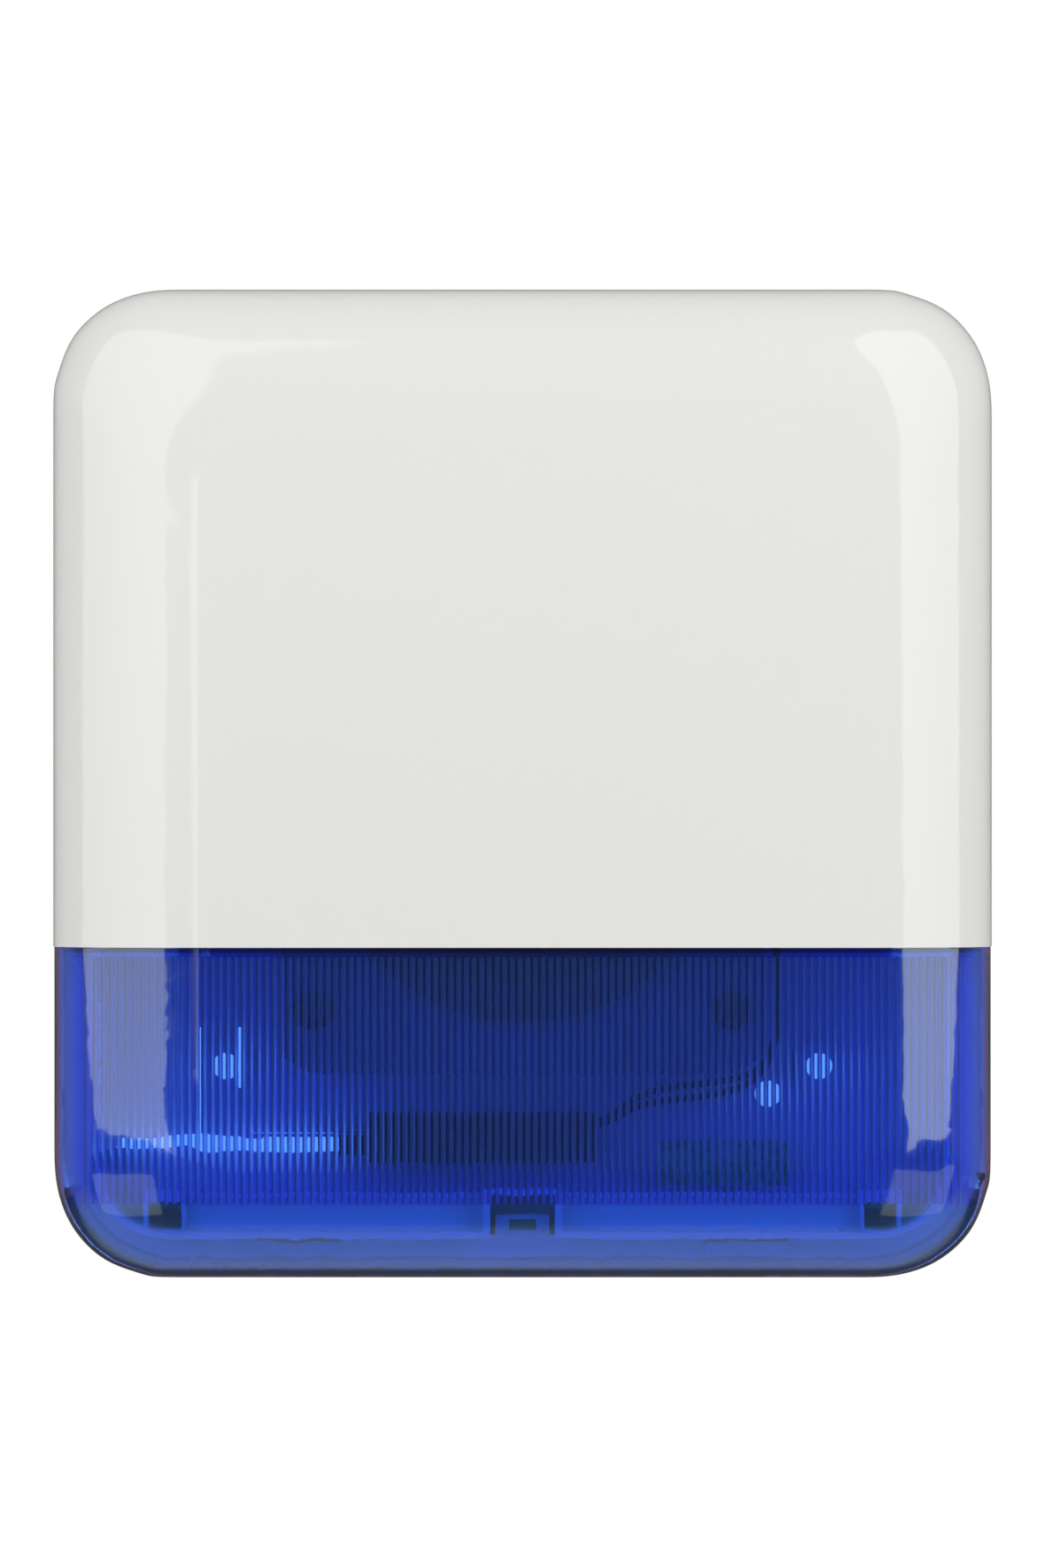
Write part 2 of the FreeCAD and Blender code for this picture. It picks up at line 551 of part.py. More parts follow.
# ---- Base -------------------------------------------------------------------------------------
def rear_base():
    """White wall tray: back plate, box wall with its lock notch, ledge, sockets, bosses and bays."""
    plate = Part.Face(form_outline(PLATE_INSET, 0)).extrude(OUT * PLATE)
    plate = plate.common(block((-WIDTH, WIDTH), (0, PLATE), (2 * BOTTOM, TOP - PLATE_TOP_DROP)))
    deep = (PLATE - SINK, BOX_DEPTH)
    solid_tray = tray_prism(0, deep)
    wall = solid_tray.cut(tray_prism(BOX_WALL, (0, 2 * BOX_DEPTH)))
    frame = block((-NOTCH_HALF - NOTCH_WALL, NOTCH_HALF + NOTCH_WALL), deep,
                  (BOX_LOW, BOX_LOW + NOTCH_HEIGHT + NOTCH_WALL))
    rise = LEDGE_DEPTH - PLATE + SINK
    ledge = Part.Face(form_outline(LEDGE_LOW - BOTTOM, PLATE - SINK)).extrude(OUT * rise)
    ledge = ledge.common(block((-WIDTH, WIDTH), (0, BOX_DEPTH), (2 * BOTTOM, BOTTOM + LEDGE_HEIGHT)))
    ledge = ledge.cut(tray_prism(0.05, (0, BOX_DEPTH)))
    notch = block((-NOTCH_HALF, NOTCH_HALF), (PLATE, 2 * BOX_DEPTH),
                  (BOX_LOW - 0.01, BOX_LOW + NOTCH_HEIGHT))
    body = union([plate, wall, frame, ledge]).cut(notch)
    tab = block((-TAB_HALF, TAB_HALF), (0, LEDGE_DEPTH), (BOX_LOW - 1.0, BOX_LOW + TAB_HEIGHT))
    adds = [tab]
    for side in (-1, 1):
        adds += base_side(side)
    adds += [peg(x, z, (PLATE - SINK, BOARD_DEPTH), BOARD_BOSS_RADIUS) for x, z in board_holes()]
    strobe_mid = (STROBE_Z[0] + STROBE_Z[1]) / 2
    adds += [peg(x, strobe_mid, (PLATE - SINK, STROBE_DEPTH), STROBE_POST_RADIUS) for x in strobe_posts()]
    adds += [lead_clip(SOUNDER_Z[0] + share * (SOUNDER_Z[1] - SOUNDER_Z[0])) for share in CLIP_SHARES]
    adds.append(peg(*CABLE_PLACE, (0, PLATE + CABLE_SEAT), CABLE_RADIUS + CABLE_BOSS))
    body = union([body] + adds)
    nut_half = NUT_WIDTH / 2 + NUT_CLEARANCE
    shank = LOCK_SHANK_RADIUS + LOCK_CLEARANCE
    cuts = [rod_z(0, LOCK_DEPTH, (2 * BOTTOM, NUT_SLOT_LOW - 1.0), LOCK_HEAD_RADIUS + LOCK_CLEARANCE),
            rod_z(0, LOCK_DEPTH, (2 * BOTTOM, BOX_LOW + TAB_HEIGHT + 1), shank),
            block((-nut_half, nut_half), (LOCK_DEPTH - nut_half - NUT_CLEARANCE, 2 * LEDGE_DEPTH),
                  (NUT_SLOT_LOW, NUT_SLOT_LOW + NUT_SLOT_HEIGHT)),
            peg(*CABLE_PLACE, (-1, 2 * PLATE), CABLE_RADIUS),
            peg(*WALL_TAMPER_PLACE, (-1, 2 * PLATE), WALL_PLUNGER_RADIUS + 0.4)]
    for x in (-MOUNT_X, MOUNT_X):
        for z in MOUNT_Z:
            cuts.append(peg(x, z, (-1, 2 * MOUNT_BOSS_DEPTH), MOUNT_HOLE_RADIUS))
    cuts.append(peg(SPARE_HOLE[0], BOTTOM + SPARE_HOLE[1], (-1, 2 * PLATE), MOUNT_HOLE_RADIUS))
    cuts += break_slots()
    fixing = (PLATE - FIXING_FLOOR + 1.0, PLATE + 1)
    cuts += [peg(x, z, fixing, FIXING_RADIUS + SCREW_PLAY) for x, z in well_places()]
    fixing = (PLATE + 1, BOARD_DEPTH + 1)
    cuts += [peg(x, z, fixing, BOARD_SCREW_RADIUS + SCREW_PLAY) for x, z in board_holes()]
    for side in (-1, 1):
        pad = sorted((side * PAD_SPAN[0], side * PAD_SPAN[1]))
        cuts.append(block(pad, (-1, 2 * LEDGE_DEPTH), (BOX_LOW - 0.1 - PAD_SLOT, BOX_LOW - 0.1)))
        bore = (side * HINGE_X - 1.5 * HOOK_WIDTH, side * HINGE_X + 1.5 * HOOK_WIDTH)
        cuts.append(rod_x(bore, HINGE_DEPTH, HINGE_Z, HINGE_PIN_RADIUS + 0.02))
    return body.cut(cuts)


def break_slots():
    """Slots in the back plate that leave a weak tongue round the lower left screw."""
    through = (-1, 2 * MOUNT_BOSS_DEPTH)
    low, high = (BOTTOM + height for height in LONG_SLOT_HEIGHTS)
    slots = [block([distance - BOX_HALF for distance in LONG_SLOT_SPAN], through, (low, high))]
    for x, foot in zip(BREAK_SLOT_X, (high - SINK, BOTTOM + BREAK_SLOT_END)):
        span = (x - BREAK_SLOT / 2, x + BREAK_SLOT / 2)
        slots.append(block(span, through, (foot, BOTTOM + BREAK_SLOT_TOP)))
    return slots


def base_side(side):
    """What the tray carries on each side: sockets, cross ribs, pads, hinge cheeks and a cell bay."""
    mirror_x = [lambda low, high: (low, high), lambda low, high: (-high, -low)][side < 0]
    parts = []
    right = BOX_HALF - SOCKET_SIDE_GAP
    left = right - SOCKET_OUTER
    socket_z = (BOX_LOW + 0.9, BOX_LOW + 0.9 + SOCKET_HEIGHT)
    rim = (SOCKET_OUTER - SOCKET_HOLE) / 2
    socket = block(mirror_x(left, right), (PLATE - SINK, SOCKET_DEPTH), socket_z)
    hollow = block(mirror_x(left + rim, right - rim), (PLATE, SOCKET_DEPTH + 1),
                   (socket_z[0] + 0.8, socket_z[0] + 0.8 + SOCKET_HOLE))
    parts.append(socket.cut(hollow))
    rib_z = BOX_LOW + RIB_HEIGHT_ABOVE
    across = mirror_x(NOTCH_HALF + SINK, left + SINK)
    parts.append(block(across, (PLATE - SINK, SOCKET_DEPTH - RIB_DROP), (rib_z - RIB_WALL, rib_z)))
    parts.append(block(across, (PLATE - SINK, SHELF_DEPTH), (BOX_LOW + SINK, rib_z - SINK)))
    parts.append(block(mirror_x(*PAD_SPAN), (LEDGE_DEPTH - SINK, LEDGE_DEPTH + PAD_RISE),
                       (LEDGE_LOW + 0.3, BOX_LOW - 0.1 - PAD_SLOT)))
    half = HOOK_WIDTH / 2 + CHEEK_GAP
    thick = (HINGE_DEPTH - CHEEK_RADIUS, HINGE_DEPTH + CHEEK_RADIUS)
    for inner in (HINGE_X - half - CHEEK_WALL, HINGE_X + half):
        span = mirror_x(inner, inner + CHEEK_WALL)
        cheek = rod_x(span, HINGE_DEPTH, HINGE_Z, CHEEK_RADIUS)
        parts.append(cheek.fuse(block(span, thick, (BOX_HIGH - BOX_WALL, HINGE_Z))))
    for z in MOUNT_Z:
        parts.append(peg(side * MOUNT_X, z, (PLATE - SINK, MOUNT_BOSS_DEPTH), MOUNT_BOSS_RADIUS))
    cell = mirror_x(CELL_X - CELL_RADIUS, CELL_X + CELL_RADIUS)
    top_wall = CELL_TOP + CONTACT_WALL
    parts.append(block(cell, (PLATE - SINK, CELL_DEPTH + 6), (CELL_BAY_LOW - CELL_END_WALL, CELL_BAY_LOW)))
    parts.append(block(cell, (PLATE - SINK, CELL_DEPTH + 6), (top_wall, top_wall + CELL_END_WALL)))
    for share in (0.25, 0.75, 1.25, 1.75):
        z = CELL_Z + share * CELL_LENGTH
        saddle = block(cell, (PLATE - SINK, CELL_DEPTH - 5), (z - 1, z + 1))
        parts.append(saddle.cut(rod_z(side * CELL_X, CELL_DEPTH, (z - 2, z + 2), CELL_RADIUS + 0.02)))
    return parts


def lead_clip(z):
    """Open clip that holds the pair of leads beside the sounder."""
    x = SOUNDER_WIDTH / 2 + LEAD_SIDE_GAP
    half = CLIP_WIDTH / 2
    front = BACKUP_DEPTH + 2 * CLIP_HALF
    clip = block((x - CLIP_HALF, x + CLIP_HALF), (PLATE - SINK, front), (z - half, z + half))
    slot = LEAD_RADIUS + CLIP_CLEARANCE
    return clip.cut(block((x - slot, x + slot), (BACKUP_DEPTH - 1.2, DEPTH), (z - half - 1, z + half + 1)))


def well_places():
    """Where the four sounder screws stand."""
    across = SOUNDER_WIDTH / 2 - WELL_INSET
    heights = (SOUNDER_Z[0] + 2 * WELL_INSET, SOUNDER_Z[1] - WELL_INSET)
    return [(x, z) for x in (-across, across) for z in heights]


def board_holes():
    """Corner holes of the main board."""
    xs = (BOARD_X[0] + BOARD_HOLE_INSET, BOARD_X[1] - BOARD_HOLE_INSET)
    zs = (BOARD_Z[0] + BOARD_HOLE_INSET, BOARD_Z[1] - BOARD_HOLE_INSET)
    return [(x, z) for x in xs for z in zs]


def strobe_posts():
    """The two posts under the strobe board."""
    return (STROBE_X[0] + STROBE_POST_INSET, STROBE_X[1] - STROBE_POST_INSET)


def hinge_pins():
    """Steel pins between the cheeks, which the cover's hooks hang on."""
    half = HOOK_WIDTH / 2 + CHEEK_GAP + CHEEK_WALL
    pin = rod_x((HINGE_X - half, HINGE_X + half), HINGE_DEPTH, HINGE_Z, HINGE_PIN_RADIUS)
    return Part.makeCompound([pin, mirrored(pin)])


def lock_screw():
    """Slotted jack screw, shown wound in; wound out, its head enters the hole in the lens."""
    low = LEDGE_LOW + 0.1
    head = rod_z(0, LOCK_DEPTH, (low, low + LOCK_HEAD_HEIGHT), LOCK_HEAD_RADIUS)
    shank = (low + LOCK_HEAD_HEIGHT - 0.1, BOX_LOW + TAB_HEIGHT - 0.2)
    shank = rod_z(0, LOCK_DEPTH, shank, LOCK_SHANK_RADIUS)
    slot = block((-LOCK_HEAD_RADIUS, LOCK_HEAD_RADIUS), (LOCK_DEPTH - 0.5, LOCK_DEPTH + 0.5),
                 (LEDGE_LOW, LEDGE_LOW + 1.5))
    return head.fuse(shank).cut(slot).removeSplitter()


def lock_nut():
    """Square nut in the slot of the lock tab."""
    half = NUT_WIDTH / 2
    low = NUT_SLOT_LOW + (NUT_SLOT_HEIGHT - NUT_HEIGHT) / 2
    nut = block((-half, half), (LOCK_DEPTH - half, LOCK_DEPTH + half), (low, low + NUT_HEIGHT))
    return nut.cut(rod_z(0, LOCK_DEPTH, (BOTTOM, 0), LOCK_SHANK_RADIUS + 0.04))


def cable_grommet():
    """Rubber grommet in the cable entry."""
    x, z = CABLE_PLACE
    seat = PLATE + CABLE_SEAT
    body, lip = CABLE_RADIUS - GROMMET_PLAY, CABLE_RADIUS + GROMMET_LIP
    profile = [(CABLE_BORE, 0.0), (body, 0.0), (body, seat + GROMMET_PLAY), (lip, seat + GROMMET_PLAY),
               (lip - 1, seat + GROMMET_LIP), (CABLE_BORE, seat + GROMMET_NOSE)]
    wire = Part.makePolygon([point(x + r, d, z) for r, d in profile + profile[:1]])
    return Part.Face(wire).revolve(point(x, 0, z), OUT, 360)


# ---- Sounder ----------------------------------------------------------------------------------
def housing_corners(inset):
    """Corners of the sounder housing, drawn in by its wall."""
    half = SOUNDER_WIDTH / 2 - inset
    low, high = SOUNDER_Z[0] + inset, SOUNDER_Z[1] - inset
    across, upward = SOUNDER_CUT
    return [(-half, high), (half, high), (half, low + upward), (half - across, low),
            (across - half, low), (-half, low + upward)]


def sounder_housing():
    """Black housing, open to the plate, with a round mouth for the horn and four screw wells."""
    front = SOUNDER_DEPTH
    outer = prism(housing_corners(0), (PLATE, front))
    rims = [edge for edge in outer.Edges
            if all(abs(vertex.Point.y + front) < 0.01 for vertex in edge.Vertexes)]
    outer = outer.makeFillet(SOUNDER_ROUNDING, rims)
    outer = outer.cut(prism(housing_corners(SOUNDER_WALL), (0, front - SOUNDER_WALL)))
    room = (PLATE, front - 0.5)
    wells = [peg(x, z, room, WELL_RADIUS + WELL_WALL) for x, z in well_places()]
    body = union([outer] + [well.common(prism(housing_corners(0.5), room)) for well in wells])
    mouth = HORN_MOUTH + HORN_LIP + HORN_CLEARANCE
    cuts = [peg(0, SOUNDER_MID, (front - 2 * SOUNDER_WALL, front + 1), mouth)]
    cuts += [peg(x, z, (PLATE + FIXING_FLOOR, front + 1), WELL_RADIUS) for x, z in well_places()]
    cuts += [peg(x, z, (0, front), FIXING_RADIUS + 0.2) for x, z in well_places()]
    return body.cut(cuts)


def horn_radius(depth):
    """Exponential flare from the throat to the mouth."""
    growth = math.log(HORN_MOUTH / HORN_THROAT) / (SOUNDER_DEPTH + HORN_LIP - HORN_REAR)
    return HORN_THROAT * math.exp(growth * (depth - HORN_REAR))


def sounder_horn():
    """Horn moulding: flared wall, mounting flange, and a phase plug held by three vanes."""
    mouth = SOUNDER_DEPTH + HORN_LIP
    depths = [HORN_REAR + (mouth - HORN_REAR) * step / 5 for step in range(6)]
    inner = Part.BSplineCurve()
    inner.interpolate([point(horn_radius(d), d, SOUNDER_MID) for d in depths])
    outer = Part.BSplineCurve()
    outer.interpolate([point(horn_radius(d) + HORN_WALL, d, SOUNDER_MID) for d in depths])
    ends = []
    for d in (depths[0], depths[-1]):
        radius = horn_radius(d)
        ends.append(Part.makeLine(point(radius, d, SOUNDER_MID), point(radius + HORN_WALL, d, SOUNDER_MID)))
    flare = Part.Face(Part.Wire([inner.toShape(), ends[1], outer.toShape(), ends[0]]))
    flare = flare.revolve(point(0, 0, SOUNDER_MID), OUT, 360)
    flange = peg(0, SOUNDER_MID, (SOUNDER_DEPTH, mouth), HORN_MOUTH + HORN_FLANGE)
    flange = flange.cut(peg(0, SOUNDER_MID, (0, DEPTH), horn_radius(SOUNDER_DEPTH) + HORN_WALL / 2))
    nose = [(0.0, mouth - 1), (PLUG_RADIUS / 3, mouth - 2.2), (PLUG_RADIUS - 2, mouth - 9),
            (PLUG_RADIUS, HORN_REAR + 3), (PLUG_RADIUS - 1, HORN_REAR + 2), (0.0, HORN_REAR + 2)]
    wire = Part.makePolygon([point(r, d, SOUNDER_MID) for r, d in nose + nose[:1]])
    plug = Part.Face(wire).revolve(point(0, 0, SOUNDER_MID), OUT, 360)
    vanes = []
    vane_depths = (HORN_REAR + 4, HORN_REAR + 9)
    reach = horn_radius(vane_depths[0]) + HORN_WALL / 2
    for turn in (90, 210, 330):
        vane = block((0, reach), vane_depths, (SOUNDER_MID - VANE_WALL / 2, SOUNDER_MID + VANE_WALL / 2))
        vanes.append(vane.rotate(point(0, 0, SOUNDER_MID), OUT, turn))
    return union([flare, flange, plug] + vanes)


def sounder_driver():
    """Driver can behind the horn throat, open to the diaphragm."""
    rear = PLATE + DRIVER_GAP
    front = HORN_REAR - 0.1
    can = peg(0, SOUNDER_MID, (rear, front), DRIVER_RADIUS)
    rims = [edge for edge in can.Edges if edge.Length > 6 * DRIVER_RADIUS]
    can = can.makeChamfer(0.8, rims)
    return can.cut(peg(0, SOUNDER_MID, (front - 3.0, front + 1), HORN_THROAT - 1.0))


def sounder_diaphragm():
    """Thin brass disc on the floor of the driver's mouth."""
    floor = HORN_REAR - 0.1 - 3.0
    return peg(0, SOUNDER_MID, (floor, floor + DIAPHRAGM_WALL), HORN_THROAT - 1.3)


def pan_screw(x, z, seat, reach, radius, head_radius, head_height):
    """Cross-slotted pan-head screw that enters towards the wall from a seat."""
    shank = peg(x, z, (seat - reach, seat), radius)
    head = peg(x, z, (seat, seat + head_height), head_radius)
    rims = [edge for edge in head.Edges if abs(edge.Vertexes[0].Point.y + seat + head_height) < 0.01
            and edge.Length > head_radius]
    head = head.makeChamfer(0.4 * head_height, rims)
    floor = seat + 0.5 * head_height
    arm = 0.62 * head_radius
    cross = block((x - arm, x + arm), (floor, DEPTH), (z - 0.35, z + 0.35))
    cross = cross.fuse(block((x - 0.35, x + 0.35), (floor, DEPTH), (z - arm, z + arm)))
    return shank.fuse(head).cut(cross)


def sounder_screws():
    """Four screws at the bottom of the housing's wells."""
    seat, reach = PLATE + FIXING_FLOOR, FIXING_FLOOR + 0.9
    head = (FIXING_HEAD_RADIUS, FIXING_HEAD)
    return Part.makeCompound([pan_screw(x, z, seat, reach, FIXING_RADIUS, *head) for x, z in well_places()])


# ---- Power ------------------------------------------------------------------------------------
def battery_cells():
    """Four round cells, two end to end in each side bay."""
    cells = []
    for x in (-CELL_X, CELL_X):
        for z in (CELL_Z, CELL_Z + CELL_LENGTH):
            can = rod_z(x, CELL_DEPTH, (z, z + CELL_LENGTH - CELL_PIP), CELL_RADIUS)
            rims = [edge for edge in can.Edges if edge.Length > 5 * CELL_RADIUS]
            can = can.makeChamfer(0.8, rims)
            pip = rod_z(x, CELL_DEPTH, (z + CELL_LENGTH - 2 * CELL_PIP, z + CELL_LENGTH), CELL_PIP_RADIUS)
            cells.append(can.fuse(pip))
    return Part.makeCompound(cells)


def battery_contacts():
    """Sprung negative contacts below the cells and flat positive ones above."""
    parts = []
    depths = (CELL_DEPTH - CONTACT_HALF, CELL_DEPTH + CONTACT_HALF - 1.5)
    for x in (-CELL_X, CELL_X):
        span = (x - CONTACT_HALF, x + CONTACT_HALF)
        low = point(x, CELL_DEPTH, CELL_BAY_LOW + CONTACT_WALL)
        plate = block(span, depths, (CELL_BAY_LOW, CELL_BAY_LOW + CONTACT_WALL))
        cone = Part.makeCone(*SPRING_RADII, CONTACT_SPRING, low, UP)
        hollow = Part.makeCone(*(radius - SPRING_WALL for radius in SPRING_RADII), CONTACT_SPRING, low, UP)
        parts.append(plate.fuse(cone.cut(hollow)))
        parts.append(block(span, depths, (CELL_TOP, CELL_TOP + CONTACT_WALL)))
    return Part.makeCompound(parts)


def backup_cell():
    """Dark sleeved cell lying across the tray, with the sleeve's tail at its left end."""
    can = rod_x(BACKUP_X, BACKUP_DEPTH, BACKUP_Z, BACKUP_RADIUS)
    rims = [edge for edge in can.Edges if edge.Length > 5 * BACKUP_RADIUS]
    can = can.makeChamfer(0.7, rims)
    span = (BACKUP_X[0] - BACKUP_TAIL, BACKUP_X[0] + 1)
    return can.fuse(rod_x(span, BACKUP_DEPTH, BACKUP_Z - 0.6, BACKUP_TAIL_RADIUS))


def backup_cradle():
    """Cradle under the backup cell, with end cheeks that carry the leads on."""
    xs = (BACKUP_X[0] + 2, CRADLE_RIGHT)
    zs = (BACKUP_Z - BACKUP_RADIUS, BACKUP_Z + BACKUP_RADIUS)
    body = soft_block(xs, (PLATE, BACKUP_DEPTH - 0.4), zs, 1.2, OUT)
    hollow = (BACKUP_X[0] - 1, BACKUP_X[1] + 0.1)
    body = body.cut(rod_x(hollow, BACKUP_DEPTH, BACKUP_Z, BACKUP_RADIUS + 0.02))
    pocket = block((BACKUP_X[1] + CRADLE_WALL, xs[1] - CRADLE_WALL), (PLATE + 4, DEPTH),
                   (zs[0] + CRADLE_WALL, zs[1] - CRADLE_WALL - 2.4))
    return body.cut(pocket)


def backup_lead(shift):
    """One of the pair of leads from the backup cell to the main board, moved out by a shift."""
    rise = SOUNDER_WIDTH / 2 + LEAD_SIDE_GAP
    low = BACKUP_Z + BACKUP_RADIUS / 2
    high = BOARD_Z[0] + PLUG_RISE
    front = BACKUP_DEPTH + LEAD_RADIUS
    over = BOARD_FRONT + LEAD_PROUD
    across = [CRADLE_RIGHT + share * (rise - CRADLE_RIGHT) for share in (0.03, 0.23, 0.46, 0.69, 0.9)]
    across = [0.4 * CRADLE_RIGHT] + across + [rise + 0.4]
    forward = (0.4, 0.8, 1.0, 1.1, 1.0, 0.6, 0.0)
    along = rise - PLUG_X
    climb = high - low
    drops = [high - drop for drop in LEAD_DROPS]
    places = [(BACKUP_X[1] + 0.03, front, low)]
    places += [(x, front + ahead, low + lift) for x, ahead, lift in zip(across, forward, LEAD_LIFTS)]
    places += [(rise, front - 0.1, low + 0.29 * climb), (rise + 0.05, front, low + 0.5 * climb),
               (rise, front + 0.3, low + 0.73 * climb), (rise, front + 0.9, drops[0]),
               (rise - 0.08 * along, over - 0.6, drops[1]), (rise - 0.34 * along, over, drops[2]),
               (rise - 0.65 * along, over, high), (PLUG_X + 0.01, over, high)]
    moved = [point(x, depth + shift, z) for x, depth, z in places]
    return tube(moved, LEAD_RADIUS)


def lead_plug():
    """Two-way plug of the leads on the main board."""
    z = BOARD_Z[0] + PLUG_RISE
    length, height, rise = PLUG_SIZE
    return soft_block((PLUG_X - length, PLUG_X), (BOARD_FRONT, BOARD_FRONT + rise),
                      (z - height / 2, z + height / 2), 0.5, RIGHT)


# ---- Boards and small parts -------------------------------------------------------------------
def main_board():
    """Green control board on four bosses."""
    board = soft_block(BOARD_X, (BOARD_DEPTH, BOARD_FRONT), BOARD_Z, 2.0, OUT)
    return board.cut([peg(x, z, (0, DEPTH), BOARD_SCREW_RADIUS + 0.25) for x, z in board_holes()])


def board_screws():
    """Four screws that hold the main board."""
    reach = BOARD_WALL + BOARD_SCREW_GRIP
    head = (BOARD_SCREW_HEAD_RADIUS, BOARD_SCREW_HEAD)
    return Part.makeCompound([pan_screw(x, z, BOARD_FRONT, reach, BOARD_SCREW_RADIUS, *head)
                              for x, z in board_holes()])


def on_board(place, size):
    """A part standing on the main board at a place, with its width, height and rise."""
    x, z = place
    width, height, rise = size
    depths = (BOARD_FRONT, BOARD_FRONT + rise)
    return block((x - width / 2, x + width / 2), depths, (z - height / 2, z + height / 2))


def board_parts():
    """Chip, radio module, regulator, coil and capacitors of the control board."""
    blocks = ((CHIP_PLACE, CHIP_SIZE), (RADIO_PLACE, RADIO_SIZE),
              (REGULATOR_PLACE, REGULATOR_SIZE), (COIL_PLACE, COIL_SIZE))
    parts = [on_board(board_place(offset), size) for offset, size in blocks]
    top = BOARD_FRONT + CAPACITOR_HEIGHT
    for offset in CAPACITOR_PLACES:
        can = peg(*board_place(offset), (BOARD_FRONT, top), CAPACITOR_RADIUS)
        rims = [edge for edge in can.Edges if abs(edge.BoundBox.YMax + top) < 0.01]
        parts.append(can.makeChamfer(0.5, rims))
    return Part.makeCompound(parts)


def terminal_block():
    """Two-way screw terminal for outside power."""
    middle, z = board_place(TERMINAL_PLACE)
    body = on_board((middle, z), TERMINAL_SIZE)
    for x in (middle - TERMINAL_PITCH / 2, middle + TERMINAL_PITCH / 2):
        body = body.cut(peg(x, z, (BOARD_FRONT + 3, DEPTH), 1.7))
        body = body.cut(block((x - 1.6, x + 1.6), (BOARD_FRONT + 1, BOARD_FRONT + 4.5), (z, z + 5)))
    return body


def strobe_board():
    """Small green board low on the right, on two posts."""
    return soft_block(STROBE_X, (STROBE_DEPTH, STROBE_FRONT), STROBE_Z, 1.0, OUT)


def strobe_lamps():
    """Flasher lamp with its clear dome, and two chip parts beside it."""
    mid = (STROBE_Z[0] + STROBE_Z[1]) / 2
    x, z = (STROBE_X[0] + STROBE_X[1]) / 2, mid + 2.4
    base = block((x - 2.5, x + 2.5), (STROBE_FRONT, STROBE_FRONT + 1.2), (z - 2.5, z + 2.5))
    dome = Part.makeSphere(2.0, point(x, STROBE_FRONT + 1.2, z))
    dome = dome.common(block((x - 3, x + 3), (STROBE_FRONT + 0.8, STROBE_FRONT + 5), (z - 3, z + 3)))
    chips = [block((x + dx - 1, x + dx + 1), (STROBE_FRONT, STROBE_FRONT + 0.7), (mid - 2.6, mid - 1.4))
             for dx in (-7.0, 7.0)]
    return Part.makeCompound([base.fuse(dome)] + chips)


def antenna():
    """Stiff wire aerial along the top of the control board."""
    foot_x, foot_z = board_place(AERIAL_FOOT)
    high = BOARD_Z[1] + AERIAL_RISE
    depth = BOARD_FRONT + AERIAL_PROUD
    end = BOARD_X[1] - AERIAL_TIP_INSET
    stem = peg(foot_x, foot_z, (BOARD_FRONT, depth), AERIAL_RADIUS)
    rise = rod_z(foot_x, depth, (foot_z, high), AERIAL_RADIUS)
    run = rod_x((foot_x, end), depth, high, AERIAL_RADIUS)
    knees = [Part.makeSphere(AERIAL_RADIUS, point(foot_x, depth, z)) for z in (foot_z, high)]
    tip = Part.makeSphere(1.6 * AERIAL_RADIUS, point(end, depth, high))
    return union([stem, rise, run, tip] + knees)


def cover_tamper_switch():
    """Body of the switch that senses the cover."""
    x, z = TAMPER_PLACE
    half = TAMPER_SIZE / 2
    depths = (BOARD_FRONT, TAMPER_BODY_FRONT)
    body = soft_block((x - half, x + half), depths, (z - half, z + half), 0.6, OUT)
    return body.cut(peg(x, z, (BOARD_FRONT + 1.5, DEPTH), TAMPER_PLUNGER_RADIUS + SLIDE_CLEARANCE))


def cover_tamper_plunger():
    """Plunger that the cover's post holds in."""
    return peg(*TAMPER_PLACE, (BOARD_FRONT + 1.9, TAMPER_TIP), TAMPER_PLUNGER_RADIUS)


def wall_tamper_switch():
    """Body of the switch that senses the wall, behind the control board."""
    x, z = WALL_TAMPER_PLACE
    half = TAMPER_SIZE / 2
    body = block((x - half, x + half), (PLATE + 0.6, BOARD_DEPTH), (z - half, z + half))
    return body.cut(peg(x, z, (0, BOARD_DEPTH - 0.6), WALL_PLUNGER_RADIUS + SLIDE_CLEARANCE))


def wall_tamper_plunger():
    """Plunger that the wall holds in, flush with the plate."""
    return peg(*WALL_TAMPER_PLACE, (0, BOARD_DEPTH - 1.2), WALL_PLUNGER_RADIUS)


def power_switch_body():
    """Slide switch body with a slot for its knob."""
    x, z = SWITCH_PLACE
    body = on_board(SWITCH_PLACE, SWITCH_SIZE)
    half = (SWITCH_KNOB + SWITCH_TRAVEL) / 2 + SLIDE_CLEARANCE
    return body.cut(block((x - half, x + half), (BOARD_FRONT + 2, DEPTH), (z - 1.0, z + 1.0)))


def power_switch_knob():
    """Knob of the slide switch, at its left stop."""
    x, z = SWITCH_PLACE
    left = x - (SWITCH_KNOB + SWITCH_TRAVEL) / 2
    return block((left, left + SWITCH_KNOB), (BOARD_FRONT + 2.05, BOARD_FRONT + 6.5),
                 (z - 1.0 + SLIDE_CLEARANCE, z + 1.0 - SLIDE_CLEARANCE))


def enrol_button_body():
    """Square body of the enrol button."""
    x, z = BUTTON_PLACE
    hole = peg(x, z, (BOARD_FRONT + 1.6, DEPTH), BUTTON_RADIUS + SLIDE_CLEARANCE)
    return on_board(BUTTON_PLACE, BUTTON_SIZE).cut(hole)


def enrol_button_cap():
    """Round cap of the enrol button."""
    return peg(*BUTTON_PLACE, (BOARD_FRONT + 1.6 + BUTTON_TRAVEL + 0.1, BOARD_FRONT + 5.0), BUTTON_RADIUS)


